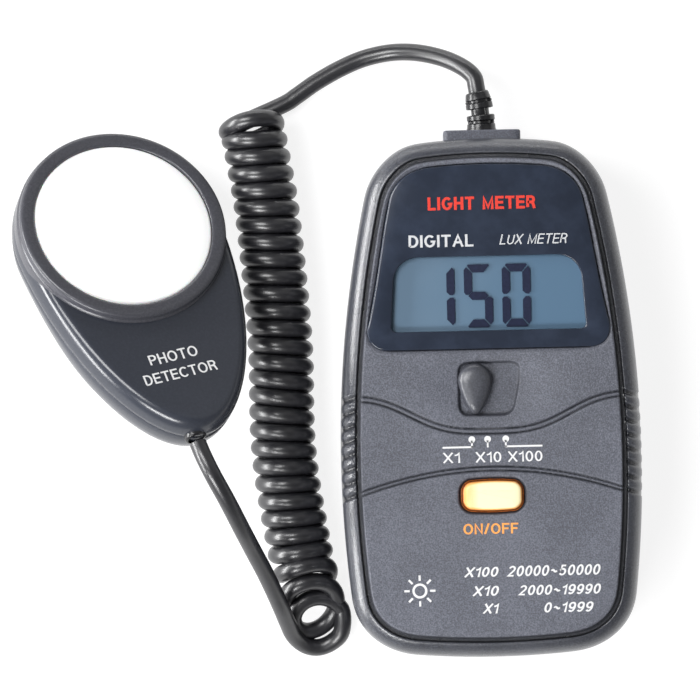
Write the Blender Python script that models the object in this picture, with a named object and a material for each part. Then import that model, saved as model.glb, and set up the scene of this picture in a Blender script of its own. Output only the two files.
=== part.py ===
"""Light meter: a hand-held case with a display, and a light sensor head on a curly cord.

Frame: origin at the middle of the case's flat back, +X right, +Y towards the cord's exit,
+Z out of the display. Sizes are in millimetres here, and MM turns them into metres.
"""
import math

import bmesh
import bpy
from mathutils import Vector

MM = 0.001
GAP = 0.3                          # clearance between pieces that touch

# Case outline: two bowed sides, a nearly straight top and bottom, and four soft corners
SIDE_HALF = 34.9                   # half width where the case is widest
SIDE_MIDDLE = -14.0                # height along Y of that place
SIDE_BOW = 0.001835
TOP_Y = 60.1
TOP_BOW = 0.0038
BOTTOM_Y = -60.15
BOTTOM_BOW = 0.0025
TOP_CORNER = ((28.07, 47.0), (25.6, 57.9), (16.0, 59.1), 0.55)
BOTTOM_CORNER = ((18.0, -59.34), (31.6, -58.2), (33.02, -46.0), 0.6)

# Case section
FACE_Z = 28.8
ROOF_Z = 26.4                      # inside of the front wall
FLOOR_Z = 3.2                      # inside of the back wall
PARTING_Z = 14.5
WALL = 2.2
FRONT_EDGE = ((0.0, 21.5), (0.35, 24.5), (1.2, 26.8), (2.4, 28.1), (4.0, FACE_Z))
BACK_EDGE = ((3.4, 0.0), (2.0, 0.8), (0.9, 2.5), (0.25, 5.0), (0.0, 8.0))

# Display
LABEL_Y = (11.3, 54.1)
LABEL_HALF = ((28.2, 15.5), (24.6, 34.3), (22.4, 46.0))
LABEL_Z = (28.15, 29.0)
DISPLAY_Y = 24.05                  # middle of the liquid crystal panel
LCD_SIZE = (46.4, 19.4, 2.7)
LCD_Z = 25.0
WINDOW = (44.4, 16.8)

# Controls
KNOB_X = -3.5                      # the range knob rests at its left-hand stop
KNOB_Y = 2.0
KNOB_RECESS = (15.1, 12.1)
KNOB_FLOOR_Z = 27.3
BUTTON_Y = -22.7
BUTTON_SIZE = (14.0, 7.0)
BUTTON_TOP_Z = 29.5

# Circuit board and battery
BOARD_Z = (17.0, 18.6)
BATTERY_MIDDLE = (-1.75, -40.0)
BATTERY_SIZE = (46.0, 26.5, 17.5)
BAY_MIDDLE = (0.0, -40.0)
BAY_SIZE = (50.6, 27.6)
COVER_HALF = 27.5
COVER_TOP_Y = -24.0
COVER_THICK = 1.7
SCREW_PLACES = ((-27.5, -19.0), (27.5, -19.0), (-20.0, 49.5), (20.0, 49.5))

# Cord
CORD_R = 2.0
COIL_R = 7.65                      # outside of the curly part
EXIT_X = -0.5
EXIT_Z = 14.5
BLOCK_TOP_Y = 62.1
RELIEF_LENGTH = 9.0
RELIEF_LEAN = math.radians(5.5)

METER_LEAD = (
    (-1.5, 72.2, 14.5), (-2.1, 74.6, 14.0), (-4.6, 76.9, 12.4), (-9.0, 79.1, 9.4), (-14.86, 80.6, 6.0),
    (-20.9, 80.85, 3.4), (-27.2, 79.7, 2.2), (-33.0, 77.4, 2.0), (-38.9, 74.2, 2.0), (-43.2, 71.3, 2.0),
    (-46.5, 69.3, 2.0),
)
COIL_AXIS = (
    (-53.95, 65.2), (-52.54, 56.3), (-51.2, 47.9), (-50.35, 40.0), (-49.7, 32.5), (-49.0, 23.7), (-48.5, 15.6),
    (-48.3, 8.1), (-48.4, -0.2), (-48.3, -8.4), (-47.7, -16.3), (-46.6, -24.4), (-45.2, -32.6), (-43.8, -39.7),
    (-42.75, -44.4),
)
HEAD_LEAD = (
    (-34.8, -50.7, 4.4), (-35.6, -53.7, 3.2), (-37.9, -56.3, 2.2), (-41.2, -57.5, 2.0), (-44.3, -56.8, 3.2),
    (-46.8, -54.5, 6.0), (-48.2, -51.3, 9.8), (-49.5, -47.9, 13.8), (-51.0, -44.2, 17.6), (-53.2, -39.2, 22.8),
    (-55.6, -34.3, 28.2), (-58.2, -28.9, 34.2), (-61.3, -22.4, 39.6), (-64.2, -16.8, 42.0), (-66.3, -12.4, 41.8),
    (-67.7, -9.0, 40.4),
)

# Light sensor head, in its own frame: disc at the origin, lead towards -Y, face towards +Z
HEAD_R = 24.8
HEAD_TIP = 53.5
HEAD_FRONT_EDGE = ((0.15, 3.6), (0.7, 4.8), (1.9, 5.5))
HEAD_BACK_EDGE = ((4.6, -9.0), (2.4, -8.4), (0.9, -6.8), (0.1, -4.0))
HEAD_WALL = 1.8
HEAD_ROOF_Z = 3.7
HEAD_FLOOR_Z = -7.2
HEAD_PLACE = (-85.72, 38.25, 18.9)
HEAD_RISE = math.radians(23.1)     # its lead end stands higher than its disc end
HEAD_ROLL = math.radians(22.0)     # its left side stands higher than its right
HEAD_TURN = math.radians(20.9)     # its long axis runs down and to the right
HEAD_SCREWS = ((-9.0, -30.0), (9.0, -30.0), (0.0, 19.0))

# Finishes: base colour, roughness, metallic
CASE_GREY = ((0.045, 0.047, 0.055), 0.55, 0.0)
HEAD_GREY = ((0.085, 0.09, 0.105), 0.35, 0.0)
LABEL_NAVY = ((0.035, 0.04, 0.06), 0.15, 0.0)
LCD_BLUE = ((0.26, 0.34, 0.42), 0.2, 0.0)
BLACK = ((0.012, 0.012, 0.014), 0.4, 0.0)
CORD_BLACK = ((0.03, 0.03, 0.034), 0.3, 0.0)
AMBER = ((0.95, 0.62, 0.22), 0.35, 0.0)
WHITE = ((0.85, 0.85, 0.84), 0.45, 0.0)
GREEN = ((0.02, 0.16, 0.06), 0.5, 0.0)
STEEL = ((0.6, 0.6, 0.62), 0.35, 1.0)
COPPER_RED = ((0.5, 0.03, 0.02), 0.45, 0.0)
FILTER_GREEN = ((0.2, 0.45, 0.25), 0.1, 0.0)


def clear_scene():
    for thing in list(bpy.data.objects):
        bpy.data.objects.remove(thing, do_unlink=True)


def finish(name, look):
    """A Principled BSDF material from a base colour, a roughness and a metallic value."""
    colour, roughness, metallic = look
    material = bpy.data.materials.new(name)
    material.use_nodes = True
    shader = material.node_tree.nodes["Principled BSDF"]
    shader.inputs["Base Color"].default_value = (*colour, 1.0)
    shader.inputs["Roughness"].default_value = roughness
    shader.inputs["Metallic"].default_value = metallic
    return material


def place(thing, look, parent=None):
    """Put a new object in the scene with a material of its own."""
    bpy.context.scene.collection.objects.link(thing)
    thing.data.materials.append(finish(thing.name, look))
    thing.parent = parent
    return thing


def frame(name, at, turn=(0.0, 0.0, 0.0), order="XYZ"):
    """An empty on a joint's axis, for pieces that move together."""
    empty = bpy.data.objects.new(name, None)
    empty.rotation_mode = order
    empty.rotation_euler = turn
    empty.location = Vector(at) * MM
    bpy.context.scene.collection.objects.link(empty)
    return empty


def loft(name, rings, look, parent=None, at=(0.0, 0.0, 0.0), loop=False):
    """A solid through rings of equal counts: closed by flat ends, or as a loop of rings."""
    count = len(rings[0])
    verts = [Vector(point) * MM for ring in rings for point in ring]
    faces = []
    for i in range(len(rings) if loop else len(rings) - 1):
        low = i * count
        high = (i + 1) % len(rings) * count
        for k in range(count):
            j = (k + 1) % count
            faces.append((low + k, low + j, high + j, high + k))
    if not loop:
        faces.append(tuple(range(count)))
        faces.append(tuple(range(len(verts) - count, len(verts))))
    mesh = bpy.data.meshes.new(name)
    mesh.from_pydata(verts, [], faces)
    sheet = bmesh.new()
    sheet.from_mesh(mesh)
    bmesh.ops.recalc_face_normals(sheet, faces=sheet.faces)
    sheet.to_mesh(mesh)
    sheet.free()
    mesh.shade_smooth()
    mesh.set_sharp_from_angle(angle=math.radians(35))
    thing = bpy.data.objects.new(name, mesh)
    thing.location = Vector(at) * MM
    return place(thing, look, parent)


def level(outline, z):
    return [(x, y, z) for x, y in outline]


def stack(name, levels, look, parent=None, at=(0.0, 0.0, 0.0), loop=False):
    """A solid from (outline, height) pairs."""
    return loft(name, [level(outline, z) for outline, z in levels], look, parent, at, loop)


def hide(tool):
    tool.hide_render = True
    tool.display_type = "WIRE"
    return tool


def combine(target, tool, operation="DIFFERENCE"):
    """Cut a hidden tool out of a target, or join it on, or keep what they share."""
    hide(tool)
    modifier = target.modifiers.new(tool.name, "BOOLEAN")
    modifier.operation = operation
    modifier.object = tool


def circle(radius, count, middle=(0.0, 0.0)):
    points = []
    for k in range(count):
        angle = 2 * math.pi * k / count
        points.append((middle[0] + radius * math.cos(angle), middle[1] + radius * math.sin(angle)))
    return points


def rounded(width, height, radius, middle=(0.0, 0.0), steps=3):
    """A rectangle with round corners, anticlockwise from its right side."""
    points = []
    for quarter in range(4):
        side_x = 1 if quarter in (0, 3) else -1
        side_y = 1 if quarter in (0, 1) else -1
        x = middle[0] + side_x * (width / 2 - radius)
        y = middle[1] + side_y * (height / 2 - radius)
        for k in range(steps + 1):
            angle = math.pi / 2 * (quarter + k / steps)
            points.append((x + radius * math.cos(angle), y + radius * math.sin(angle)))
    return points


def inset(outline, distance):
    """The outline moved inwards by a distance, along the normal at each point."""
    moved = []
    for k, (x, y) in enumerate(outline):
        before = outline[k - 1]
        after = outline[(k + 1) % len(outline)]
        along = Vector((after[0] - before[0], after[1] - before[1])).normalized()
        moved.append((x - along.y * distance, y + along.x * distance))
    return moved


def corner_curve(first, corner, last, grip, steps):
    """Points on a soft corner, without its first one."""
    grips = [[p + (c - p) * grip for p, c in zip(end, corner)] for end in (first, last)]
    points = []
    for k in range(1, steps + 1):
        t = k / steps
        weights = ((1 - t) ** 3, 3 * t * (1 - t) ** 2, 3 * t * t * (1 - t), t ** 3)
        ends = (first, grips[0], grips[1], last)
        points.append(tuple(sum(w * p[axis] for w, p in zip(weights, ends)) for axis in (0, 1)))
    return points


def side_half(y):
    return SIDE_HALF - SIDE_BOW * (y - SIDE_MIDDLE) ** 2


def mirrored(half):
    """A closed outline from its right half, which runs from the bottom middle to the top middle."""
    return half + [(-x, y) for x, y in reversed(half[1:-1])]


def case_outline(side_steps=8, corner_steps=6):
    first, corner, last, grip = BOTTOM_CORNER
    half = [(x, BOTTOM_Y + BOTTOM_BOW * x * x) for x in (0.0, 9.0, first[0])]
    half += corner_curve(first, corner, last, grip, corner_steps)
    start, corner, end, grip = TOP_CORNER
    for k in range(1, side_steps + 1):
        y = last[1] + (start[1] - last[1]) * k / side_steps
        half.append((side_half(y), y))
    half += corner_curve(start, corner, end, grip, corner_steps)
    half += [(x, TOP_Y - TOP_BOW * x * x) for x in (8.0, 0.0)]
    return mirrored(half)


def label_outline():
    """The display label: wide at its bottom, with small corners there and large ones at its top."""
    low, high = LABEL_Y
    base, middle, shoulder = LABEL_HALF
    half = [(0.0, low), (24.0, low)]
    half += corner_curve((24.0, low), (base[0] + 0.4, low), base, 0.55, 3)
    half += [middle, shoulder]
    half += corner_curve(shoulder, (20.9, 52.9), (13.0, high - 0.6), 0.6, 5)
    half += [(6.5, high - 0.15), (0.0, high)]
    return mirrored(half)


def prism(name, outline, low, high, look, parent=None, edge=0.0):
    """An upright solid on an outline, with a small slope on its upper edge."""
    levels = [(outline, low), (outline, high - edge)]
    if edge:
        levels.append((inset(outline, edge), high))
    return stack(name, levels, look, parent)


def tool_box(name, low, high):
    """A box between two corners, for cutting."""
    outline = [(low[0], low[1]), (high[0], low[1]), (high[0], high[1]), (low[0], high[1])]
    return prism(name, outline, low[2], high[2], CASE_GREY)


def smooth_route(points, steps):
    """Points on a smooth curve through the route's own points (Catmull-Rom)."""
    places = [Vector(p) for p in points]
    places = [2 * places[0] - places[1]] + places + [2 * places[-1] - places[-2]]
    curve = []
    for k in range(1, len(places) - 2):
        a, b, c, d = places[k - 1:k + 3]
        for step in range(steps):
            t = step / steps
            curve.append(0.5 * (2 * b + (c - a) * t + (2 * a - 5 * b + 4 * c - d) * t ** 2
                                + (3 * b - a - 3 * c + d) * t ** 3))
    curve.append(places[-2])
    return curve


def tube(name, points, radius, look, parent=None):
    """A round cord or wire along a row of points, with filled ends."""
    curve = bpy.data.curves.new(name, "CURVE")
    curve.dimensions = "3D"
    curve.bevel_depth = radius * MM
    curve.bevel_resolution = 2
    curve.use_fill_caps = True
    spline = curve.splines.new("POLY")
    spline.points.add(len(points) - 1)
    for knot, point in zip(spline.points, points):
        knot.co = (*(Vector(point) * MM), 1.0)
    return place(bpy.data.objects.new(name, curve), look, parent)


def front_case():
    outline = case_outline()
    levels = [(inset(outline, 3.6), ROOF_Z), (inset(outline, WALL), ROOF_Z - 2.4),
              (inset(outline, WALL), PARTING_Z + GAP / 2), (outline, PARTING_Z + GAP / 2)]
    levels += [(inset(outline, distance), z) for distance, z in FRONT_EDGE]
    case = stack("front_case", levels, CASE_GREY)
    for k, place_xy in enumerate(SCREW_PLACES):
        post = prism(f"front_post_{k}", circle(2.8, 12, place_xy), PARTING_Z + GAP, ROOF_Z + 0.4, CASE_GREY)
        combine(case, post, "UNION")
        hole = prism(f"front_hole_{k}", circle(1.55, 10, place_xy), PARTING_Z - 1, ROOF_Z - 1.6, CASE_GREY)
        combine(case, hole)
    cuts = (
        prism("label_seat", inset(label_outline(), -GAP), LABEL_Z[0] - GAP, FACE_Z + 2, CASE_GREY),
        prism("display_opening", rounded(LCD_SIZE[0] + 0.8, LCD_SIZE[1] + 0.8, 1.0, (0.0, DISPLAY_Y)),
              ROOF_Z - 2, FACE_Z + 2, CASE_GREY),
        prism("knob_seat", rounded(*KNOB_RECESS, 3.5, (0.1, KNOB_Y + 0.15), 4), KNOB_FLOOR_Z, FACE_Z + 2,
              CASE_GREY),
        prism("knob_slot", rounded(11.2, 3.0, 1.4, (0.0, KNOB_Y)), ROOF_Z - 2, FACE_Z, CASE_GREY),
        prism("button_seat", rounded(16.2, 8.4, 2.6, (0.0, BUTTON_Y)), FACE_Z - 0.9, FACE_Z + 2, CASE_GREY),
        prism("button_hole", rounded(14.7, 7.7, 2.4, (0.0, BUTTON_Y)), ROOF_Z - 2, FACE_Z, CASE_GREY),
        tool_box("cord_notch_front", (EXIT_X - 6.4, 54.0, PARTING_Z - 1), (EXIT_X + 6.4, 64.0, EXIT_Z + 5.4)),
    )
    for cut in cuts:
        combine(case, cut)


def rear_case():
    outline = case_outline()
    levels = [(inset(outline, distance), z) for distance, z in BACK_EDGE]
    levels += [(outline, PARTING_Z - GAP / 2), (inset(outline, WALL), PARTING_Z - GAP / 2),
               (inset(outline, WALL), FLOOR_Z + 2.2), (inset(outline, 3.6), FLOOR_Z)]
    case = stack("rear_case", levels, CASE_GREY)
    wall = rounded(BAY_SIZE[0] + 2.4, BAY_SIZE[1] + 2.4, 1.6, BAY_MIDDLE)
    combine(case, prism("bay_wall", wall, FLOOR_Z - 1, PARTING_Z - GAP, CASE_GREY), "UNION")
    for k, place_xy in enumerate(SCREW_PLACES):
        post = prism(f"rear_post_{k}", circle(3.7, 12, place_xy), FLOOR_Z - 1, PARTING_Z - GAP, CASE_GREY)
        combine(case, post, "UNION")
    cuts = [
        prism("bay", rounded(*BAY_SIZE, 0.8, BAY_MIDDLE), -1.0, PARTING_Z + 1, CASE_GREY),
        tool_box("cover_seat", (-COVER_HALF - GAP, -70.0, -1.0), (COVER_HALF + GAP, COVER_TOP_Y + GAP, 2.0)),
        tool_box("cord_notch_rear", (EXIT_X - 6.4, 54.0, EXIT_Z - 5.4), (EXIT_X + 6.4, 64.0, PARTING_Z + 1)),
    ]
    for k, place_xy in enumerate(SCREW_PLACES):
        cuts.append(prism(f"rear_hole_{k}", circle(1.6, 10, place_xy), 1.0, PARTING_Z + 1, CASE_GREY))
        cuts.append(prism(f"counterbore_{k}", circle(2.9, 12, place_xy), -1.0, 4.0, CASE_GREY))
    for cut in cuts:
        combine(case, cut)


def battery_cover():
    rail = frame("battery_cover_rail", (0.0, COVER_TOP_Y, 0.0))
    outline = [(x, y - COVER_TOP_Y) for x, y in case_outline()]
    levels = [(inset(outline, 3.4), 0.0), (inset(outline, 2.0), 0.8), (inset(outline, 1.45), COVER_THICK)]
    cover = stack("battery_cover", levels, CASE_GREY, rail)
    keep = tool_box("cover_area", (-COVER_HALF, -70.0, -1.0), (COVER_HALF, COVER_TOP_Y, 3.0))
    combine(cover, keep, "INTERSECT")
    for k in range(5):
        groove = tool_box(f"cover_grip_{k}", (-7.0, -50.0 + 2.2 * k, -1.0), (7.0, -49.0 + 2.2 * k, 0.5))
        combine(cover, groove)


def case_screws():
    for k, place_xy in enumerate(SCREW_PLACES):
        levels = [(circle(2.6, 12), 2.1), (circle(2.6, 12), 3.7), (circle(1.25, 12), 3.7), (circle(1.25, 12), 23.0)]
        stack(f"case_screw_{k + 1}", levels, STEEL, at=(*place_xy, 0.0))


def display():
    label = prism("display_label", label_outline(), *LABEL_Z, LABEL_NAVY, edge=0.15)
    window = prism("window_cut", rounded(*WINDOW, 1.5, (0.0, DISPLAY_Y)), 27.0, 30.0, LABEL_NAVY)
    combine(label, window)
    width, height, depth = LCD_SIZE
    middle = (0.0, DISPLAY_Y)
    prism("lcd_panel", rounded(width, height, 0.6, middle), LCD_Z, LCD_Z + depth, LCD_BLUE)
    outer = rounded(47.6, 22.0, 1.0, middle)
    inner = rounded(44.0, 19.4, 0.6, middle)
    low = BOARD_Z[1] + GAP
    high = LCD_Z - GAP
    stack("lcd_frame", [(outer, low), (outer, high), (inner, high), (inner, low)], WHITE, loop=True)
    for name, side in (("contact_strip_lower", -1), ("contact_strip_upper", 1)):
        strip = rounded(42.0, 1.8, 0.5, (0.0, DISPLAY_Y + 8.4 * side), 2)
        prism(name, strip, low, high, BLACK)


def knob_outline(scale=1.0):
    """A teardrop: round at its top, tapering to a small round tip at its bottom."""
    points = []
    for k in range(20):
        angle = 2 * math.pi * k / 20
        x = 3.75 * math.cos(angle)
        y = 4.0 * math.sin(angle) + 1.9
        if y < 1.9:
            fall = (1.9 - y) / 4.0
            x *= 1.0 - 0.42 * fall
            y = 1.9 - 7.7 * fall
        points.append((x * scale, y * scale))
    return points


def range_switch():
    rail = frame("range_rail", (KNOB_X, KNOB_Y, 0.0))
    stem = rounded(3.2, 2.3, 0.5)
    low = KNOB_FLOOR_Z + GAP
    plate = knob_outline()
    knob = stack("range_knob", [(plate, low), (plate, low + 1.3), (knob_outline(0.9), low + 2.0),
                                (knob_outline(0.55), 30.3)], BLACK, rail)
    stem_tool = prism("knob_stem", stem, 24.4, low + 0.5, BLACK, rail)
    combine(knob, stem_tool, "UNION")
    prism("switch_actuator", rounded(3.0, 2.4, 0.4), 21.0, 24.1, WHITE, rail)
    body = prism("slide_switch_body", rounded(20.0, 6.0, 0.5, (0.0, KNOB_Y)), BOARD_Z[1] + GAP, 23.1, STEEL)
    combine(body, prism("switch_track", rounded(10.8, 3.0, 0.4, (0.0, KNOB_Y)), 20.4, 24.0, STEEL))


def power_switch():
    guide = frame("power_guide", (0.0, BUTTON_Y, BUTTON_TOP_Z))
    flange = rounded(16.4, 9.4, 2.6, steps=4)
    cap = rounded(*BUTTON_SIZE, 2.2, steps=4)
    levels = [(flange, 24.9), (flange, 25.9), (cap, 25.9), (cap, BUTTON_TOP_Z - 0.5),
              (inset(cap, 0.5), BUTTON_TOP_Z)]
    levels = [(outline, z - BUTTON_TOP_Z) for outline, z in levels]
    stack("power_button", levels, AMBER, guide)
    prism("push_switch_plunger", circle(1.75, 12), 21.0 - BUTTON_TOP_Z, 24.6 - BUTTON_TOP_Z, BLACK, guide)
    body = prism("push_switch_body", rounded(6.0, 4.6, 0.4, (0.0, BUTTON_Y)), BOARD_Z[1] + GAP, 22.6, STEEL)
    combine(body, prism("plunger_well", circle(2.05, 12, (0.0, BUTTON_Y)), 19.5, 24.0, STEEL))


def electronics():
    half = [(0.0, -25.0), (24.0, -25.0), (24.0, 38.0), (19.0, 44.0), (0.0, 44.0)]
    prism("main_board", mirrored(half), *BOARD_Z, GREEN)
    low = BOARD_Z[1] + GAP
    prism("converter_chip", rounded(10.0, 10.0, 0.4, (-14.0, -11.0)), low, low + 1.6, BLACK, edge=0.2)
    prism("smoothing_capacitor", circle(2.6, 16, (13.0, -9.0)), low, low + 6.4, BLACK, edge=0.4)
    prism("trimmer", rounded(6.0, 6.0, 0.5, (18.0, -18.0)), low, low + 4.0, COPPER_RED, edge=0.2)
    prism("head_connector", rounded(8.0, 4.0, 0.3, (-6.0, 40.0)), low, low + 5.0, WHITE)
    route = smooth_route(((-0.5, 53.2, 14.5), (-1.6, 50.2, 15.6), (-4.2, 46.8, 19.4), (-6.0, 42.4, 21.4)), 3)
    tube("inner_cable", route, 1.1, CORD_BLACK)


def battery():
    x, y = BATTERY_MIDDLE
    width, height, depth = BATTERY_SIZE
    low = COVER_THICK + GAP + 0.2
    outline = rounded(width, height, 2.4, (x, y))
    levels = [(inset(outline, 0.6), low), (outline, low + 0.6), (outline, low + depth - 0.6),
              (inset(outline, 0.6), low + depth)]
    stack("battery", levels, STEEL)
    snap_x = x + width / 2 + GAP + 1.25
    prism("battery_snap", rounded(2.5, 25.0, 0.4, (snap_x, y)), low + 3.0, low + 15.0, BLACK)
    for name, shift, look in (("battery_wire_red", 0.0, COPPER_RED), ("battery_wire_black", 3.0, BLACK)):
        route = smooth_route(((snap_x, -35.0 - shift, low + 16.0), (snap_x, -33.0 - shift, low + 20.0),
                              (21.0 - shift, -27.0, 23.5), (19.8 - shift, -23.6, 21.6),
                              (19.5 - shift, -23.0, 19.6)), 3)
        tube(name, route, 0.6, look)


def cord_entry():
    """The block clamped between the case halves, and the ribbed boot that the cord leaves by."""
    sections = ((53.6, 15.0, 10.8), (55.2, 15.0, 10.8), (55.2, 12.0, 10.0), (60.5, 12.0, 10.0),
                (60.5, 17.9, 12.0), (BLOCK_TOP_Y - 0.4, 17.9, 12.0), (BLOCK_TOP_Y, 17.1, 11.2))
    rings = []
    for y, width, height in sections:
        rings.append([(EXIT_X + x, y, EXIT_Z - z) for x, z in rounded(width, height, 1.2)])
    loft("cord_block", rings, CASE_GREY)
    profile = ((0.0, 3.7), (0.5, 3.5), (0.9, 3.25), (3.2, 3.25), (3.2, 2.6), (4.3, 2.6), (4.3, 3.15),
               (5.3, 3.1), (5.3, 2.6), (6.2, 2.6), (6.2, 3.0), (8.4, 2.8), (RELIEF_LENGTH, 2.4))
    lean = Vector((-math.sin(RELIEF_LEAN), math.cos(RELIEF_LEAN), 0.0))
    across = Vector((lean.y, -lean.x, 0.0))
    start = Vector((EXIT_X, BLOCK_TOP_Y + 2 * GAP + 0.1, EXIT_Z))
    rings = []
    for distance, radius in profile:
        middle = start + lean * distance
        rings.append([middle + across * x + Vector((0.0, 0.0, y)) for x, y in circle(radius, 16)])
    loft("strain_relief", rings, CORD_BLACK)


def cords():
    tube("cord_lead_meter", smooth_route(METER_LEAD, 3), CORD_R, CORD_BLACK)
    axis = smooth_route([(x, y, COIL_R) for x, y in COIL_AXIS], 2)
    rings = []
    for k, middle in enumerate(axis):
        along = (axis[min(k + 1, len(axis) - 1)] - axis[max(k - 1, 0)]).normalized()
        across = Vector((-along.y, along.x, 0.0))
        radius = COIL_R - 1.1 * max(0.0, (k - len(axis) + 3) / 2)
        rings.append([middle + across * x + Vector((0.0, 0.0, y)) for x, y in circle(radius, 16)])
    loft("cord_coil", rings, CORD_BLACK)
    tube("cord_lead_head", smooth_route(HEAD_LEAD, 2), CORD_R, CORD_BLACK)


def head_outline():
    """Half a circle round the disc, then an egg-shaped taper to the lead's end."""
    points = []
    for k in range(16):
        angle = math.pi * k / 16
        points.append((HEAD_R * math.cos(angle), HEAD_R * math.sin(angle)))
    for k in range(24):
        angle = math.pi * (1 + k / 24)
        wide = math.cos(angle)
        x = math.copysign(abs(wide) ** 1.03, wide)
        points.append((HEAD_R * x, -HEAD_TIP * abs(math.sin(angle)) ** 1.08))
    return points


def shaft(name, place_xy, low, high, radius, head, count=10):
    return prism(name, circle(radius, count, place_xy), low, high, HEAD_GREY, head)


def sensor_head():
    head = frame("sensor_head_frame", HEAD_PLACE, (-HEAD_RISE, HEAD_ROLL, HEAD_TURN), "YXZ")
    outline = head_outline()
    levels = [(inset(outline, 3.0), HEAD_ROOF_Z), (inset(outline, HEAD_WALL), HEAD_ROOF_Z - 1.5),
              (inset(outline, HEAD_WALL), GAP / 2), (outline, GAP / 2)]
    levels += [(inset(outline, distance), z) for distance, z in HEAD_FRONT_EDGE]
    front = stack("sensor_front_shell", levels, HEAD_GREY, head)
    levels = [(inset(outline, distance), z) for distance, z in HEAD_BACK_EDGE]
    levels += [(outline, -GAP / 2), (inset(outline, HEAD_WALL), -GAP / 2), (inset(outline, HEAD_WALL + 0.1), -5.0),
               (inset(outline, 3.8), HEAD_FLOOR_Z)]
    rear = stack("sensor_rear_shell", levels, HEAD_GREY, head)
    for k, spot in enumerate(HEAD_SCREWS):
        combine(front, shaft(f"sensor_front_post_{k}", spot, GAP, HEAD_ROOF_Z + 0.3, 2.6, head), "UNION")
        combine(front, shaft(f"sensor_front_hole_{k}", spot, -1.0, 3.2, 1.3, head))
        combine(rear, shaft(f"sensor_rear_post_{k}", spot, HEAD_FLOOR_Z - 0.3, -GAP, 3.3, head), "UNION")
        combine(rear, shaft(f"sensor_rear_hole_{k}", spot, -8.0, 1.0, 1.3, head))
        combine(rear, shaft(f"sensor_counterbore_{k}", spot, -11.0, -6.4, 2.4, head))
        screw = [(circle(2.1, 10), -8.0), (circle(2.1, 10), -6.7), (circle(1.0, 10), -6.7), (circle(1.0, 10), 2.8)]
        stack(f"sensor_screw_{k + 1}", screw, STEEL, head, (*spot, 0.0))
    combine(front, shaft("disc_hole", (0.0, 0.0), HEAD_ROOF_Z - 2, 7.0, 19.0, head, 40))
    for shell, name in ((front, "cord_hole_front"), (rear, "cord_hole_rear")):
        rings = [[(x, y, z) for x, z in circle(2.9, 12)] for y in (-57.0, -48.5)]
        combine(shell, loft(name, rings, HEAD_GREY, head))
    sensor_optics(head)
    grommet = [(1.5, -46.8), (2.55, -46.8), (2.55, -53.4), (2.3, -54.3), (1.5, -54.3)]
    rings = [[(x, y, z) for x, z in circle(radius, 14)] for radius, y in grommet]
    loft("sensor_grommet", rings, CORD_BLACK, head, loop=True)


def sensor_optics(head):
    ring = [(21.0, 5.8), (24.2, 5.8), (24.3, 7.2), (23.6, 8.0), (21.7, 8.0), (21.0, 7.4)]
    stack("disc_ring", [(circle(radius, 40), z) for radius, z in ring], HEAD_GREY, head, loop=True)
    disc = [(20.7, 5.8), (20.7, 7.2), (20.2, 7.6), (12.0, 7.9), (5.0, 8.0)]
    stack("diffuser_disc", [(circle(radius, 40), z) for radius, z in disc], WHITE, head)
    holder = [(9.6, -2.4), (12.0, -2.4), (12.0, 5.4), (9.6, 5.4)]
    stack("filter_holder", [(circle(radius, 24), z) for radius, z in holder], BLACK, head, loop=True)
    prism("colour_filter", circle(9.2, 20), 2.6, 4.6, FILTER_GREEN, head)
    prism("photodiode", circle(4.6, 16), -2.4, 0.8, STEEL, head, 0.4)
    prism("sensor_board", circle(14.0, 24), -4.2, -2.7, GREEN, head)
    route = smooth_route(((0.0, -46.4, 0.0), (0.0, -36.0, -1.0), (0.0, -26.0, -2.3), (0.0, -14.5, -3.4)), 3)
    tube("sensor_cable", route, 1.0, CORD_BLACK, head)


def build():
    clear_scene()
    front_case()
    rear_case()
    battery_cover()
    case_screws()
    display()
    range_switch()
    power_switch()
    electronics()
    battery()
    cord_entry()
    cords()
    sensor_head()


build()
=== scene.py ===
"""The looks of a light meter: a hand-held case, and a sensor head on a curly cord.

Sizes are in millimetres in the model's own frame, and MM turns them into metres: the origin is the
middle of the case's flat back, +X right, +Y towards the cord's exit, +Z out of the display.
"""

import math

import bpy
import numpy as np
from mathutils import Matrix, Vector


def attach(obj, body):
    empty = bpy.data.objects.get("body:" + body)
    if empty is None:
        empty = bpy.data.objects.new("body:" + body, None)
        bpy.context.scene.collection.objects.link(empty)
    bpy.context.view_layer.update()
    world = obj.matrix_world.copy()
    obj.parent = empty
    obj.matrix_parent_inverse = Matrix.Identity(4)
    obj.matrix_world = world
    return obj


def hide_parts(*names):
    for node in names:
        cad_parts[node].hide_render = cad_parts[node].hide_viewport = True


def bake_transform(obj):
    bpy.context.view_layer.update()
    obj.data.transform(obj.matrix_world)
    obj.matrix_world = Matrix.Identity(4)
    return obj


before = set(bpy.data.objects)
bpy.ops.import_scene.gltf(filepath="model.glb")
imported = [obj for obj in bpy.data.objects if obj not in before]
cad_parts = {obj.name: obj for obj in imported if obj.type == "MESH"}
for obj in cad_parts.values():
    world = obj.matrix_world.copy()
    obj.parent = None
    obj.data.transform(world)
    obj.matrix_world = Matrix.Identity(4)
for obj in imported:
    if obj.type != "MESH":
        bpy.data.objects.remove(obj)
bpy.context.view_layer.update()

MM = 0.001
TAU = 2 * math.pi

# Camera: straight above, from far away, turned a little
VIEW_MIDDLE = (-32.2, 11.7)
VIEW_WIDTH = 162.4
VIEW_DISTANCE = 3000.0
VIEW_TURN = math.radians(-1.3)
LIGHT_AIM = (-0.03, 0.01, 0.01)  # in metres, like the lights' own places

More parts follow.
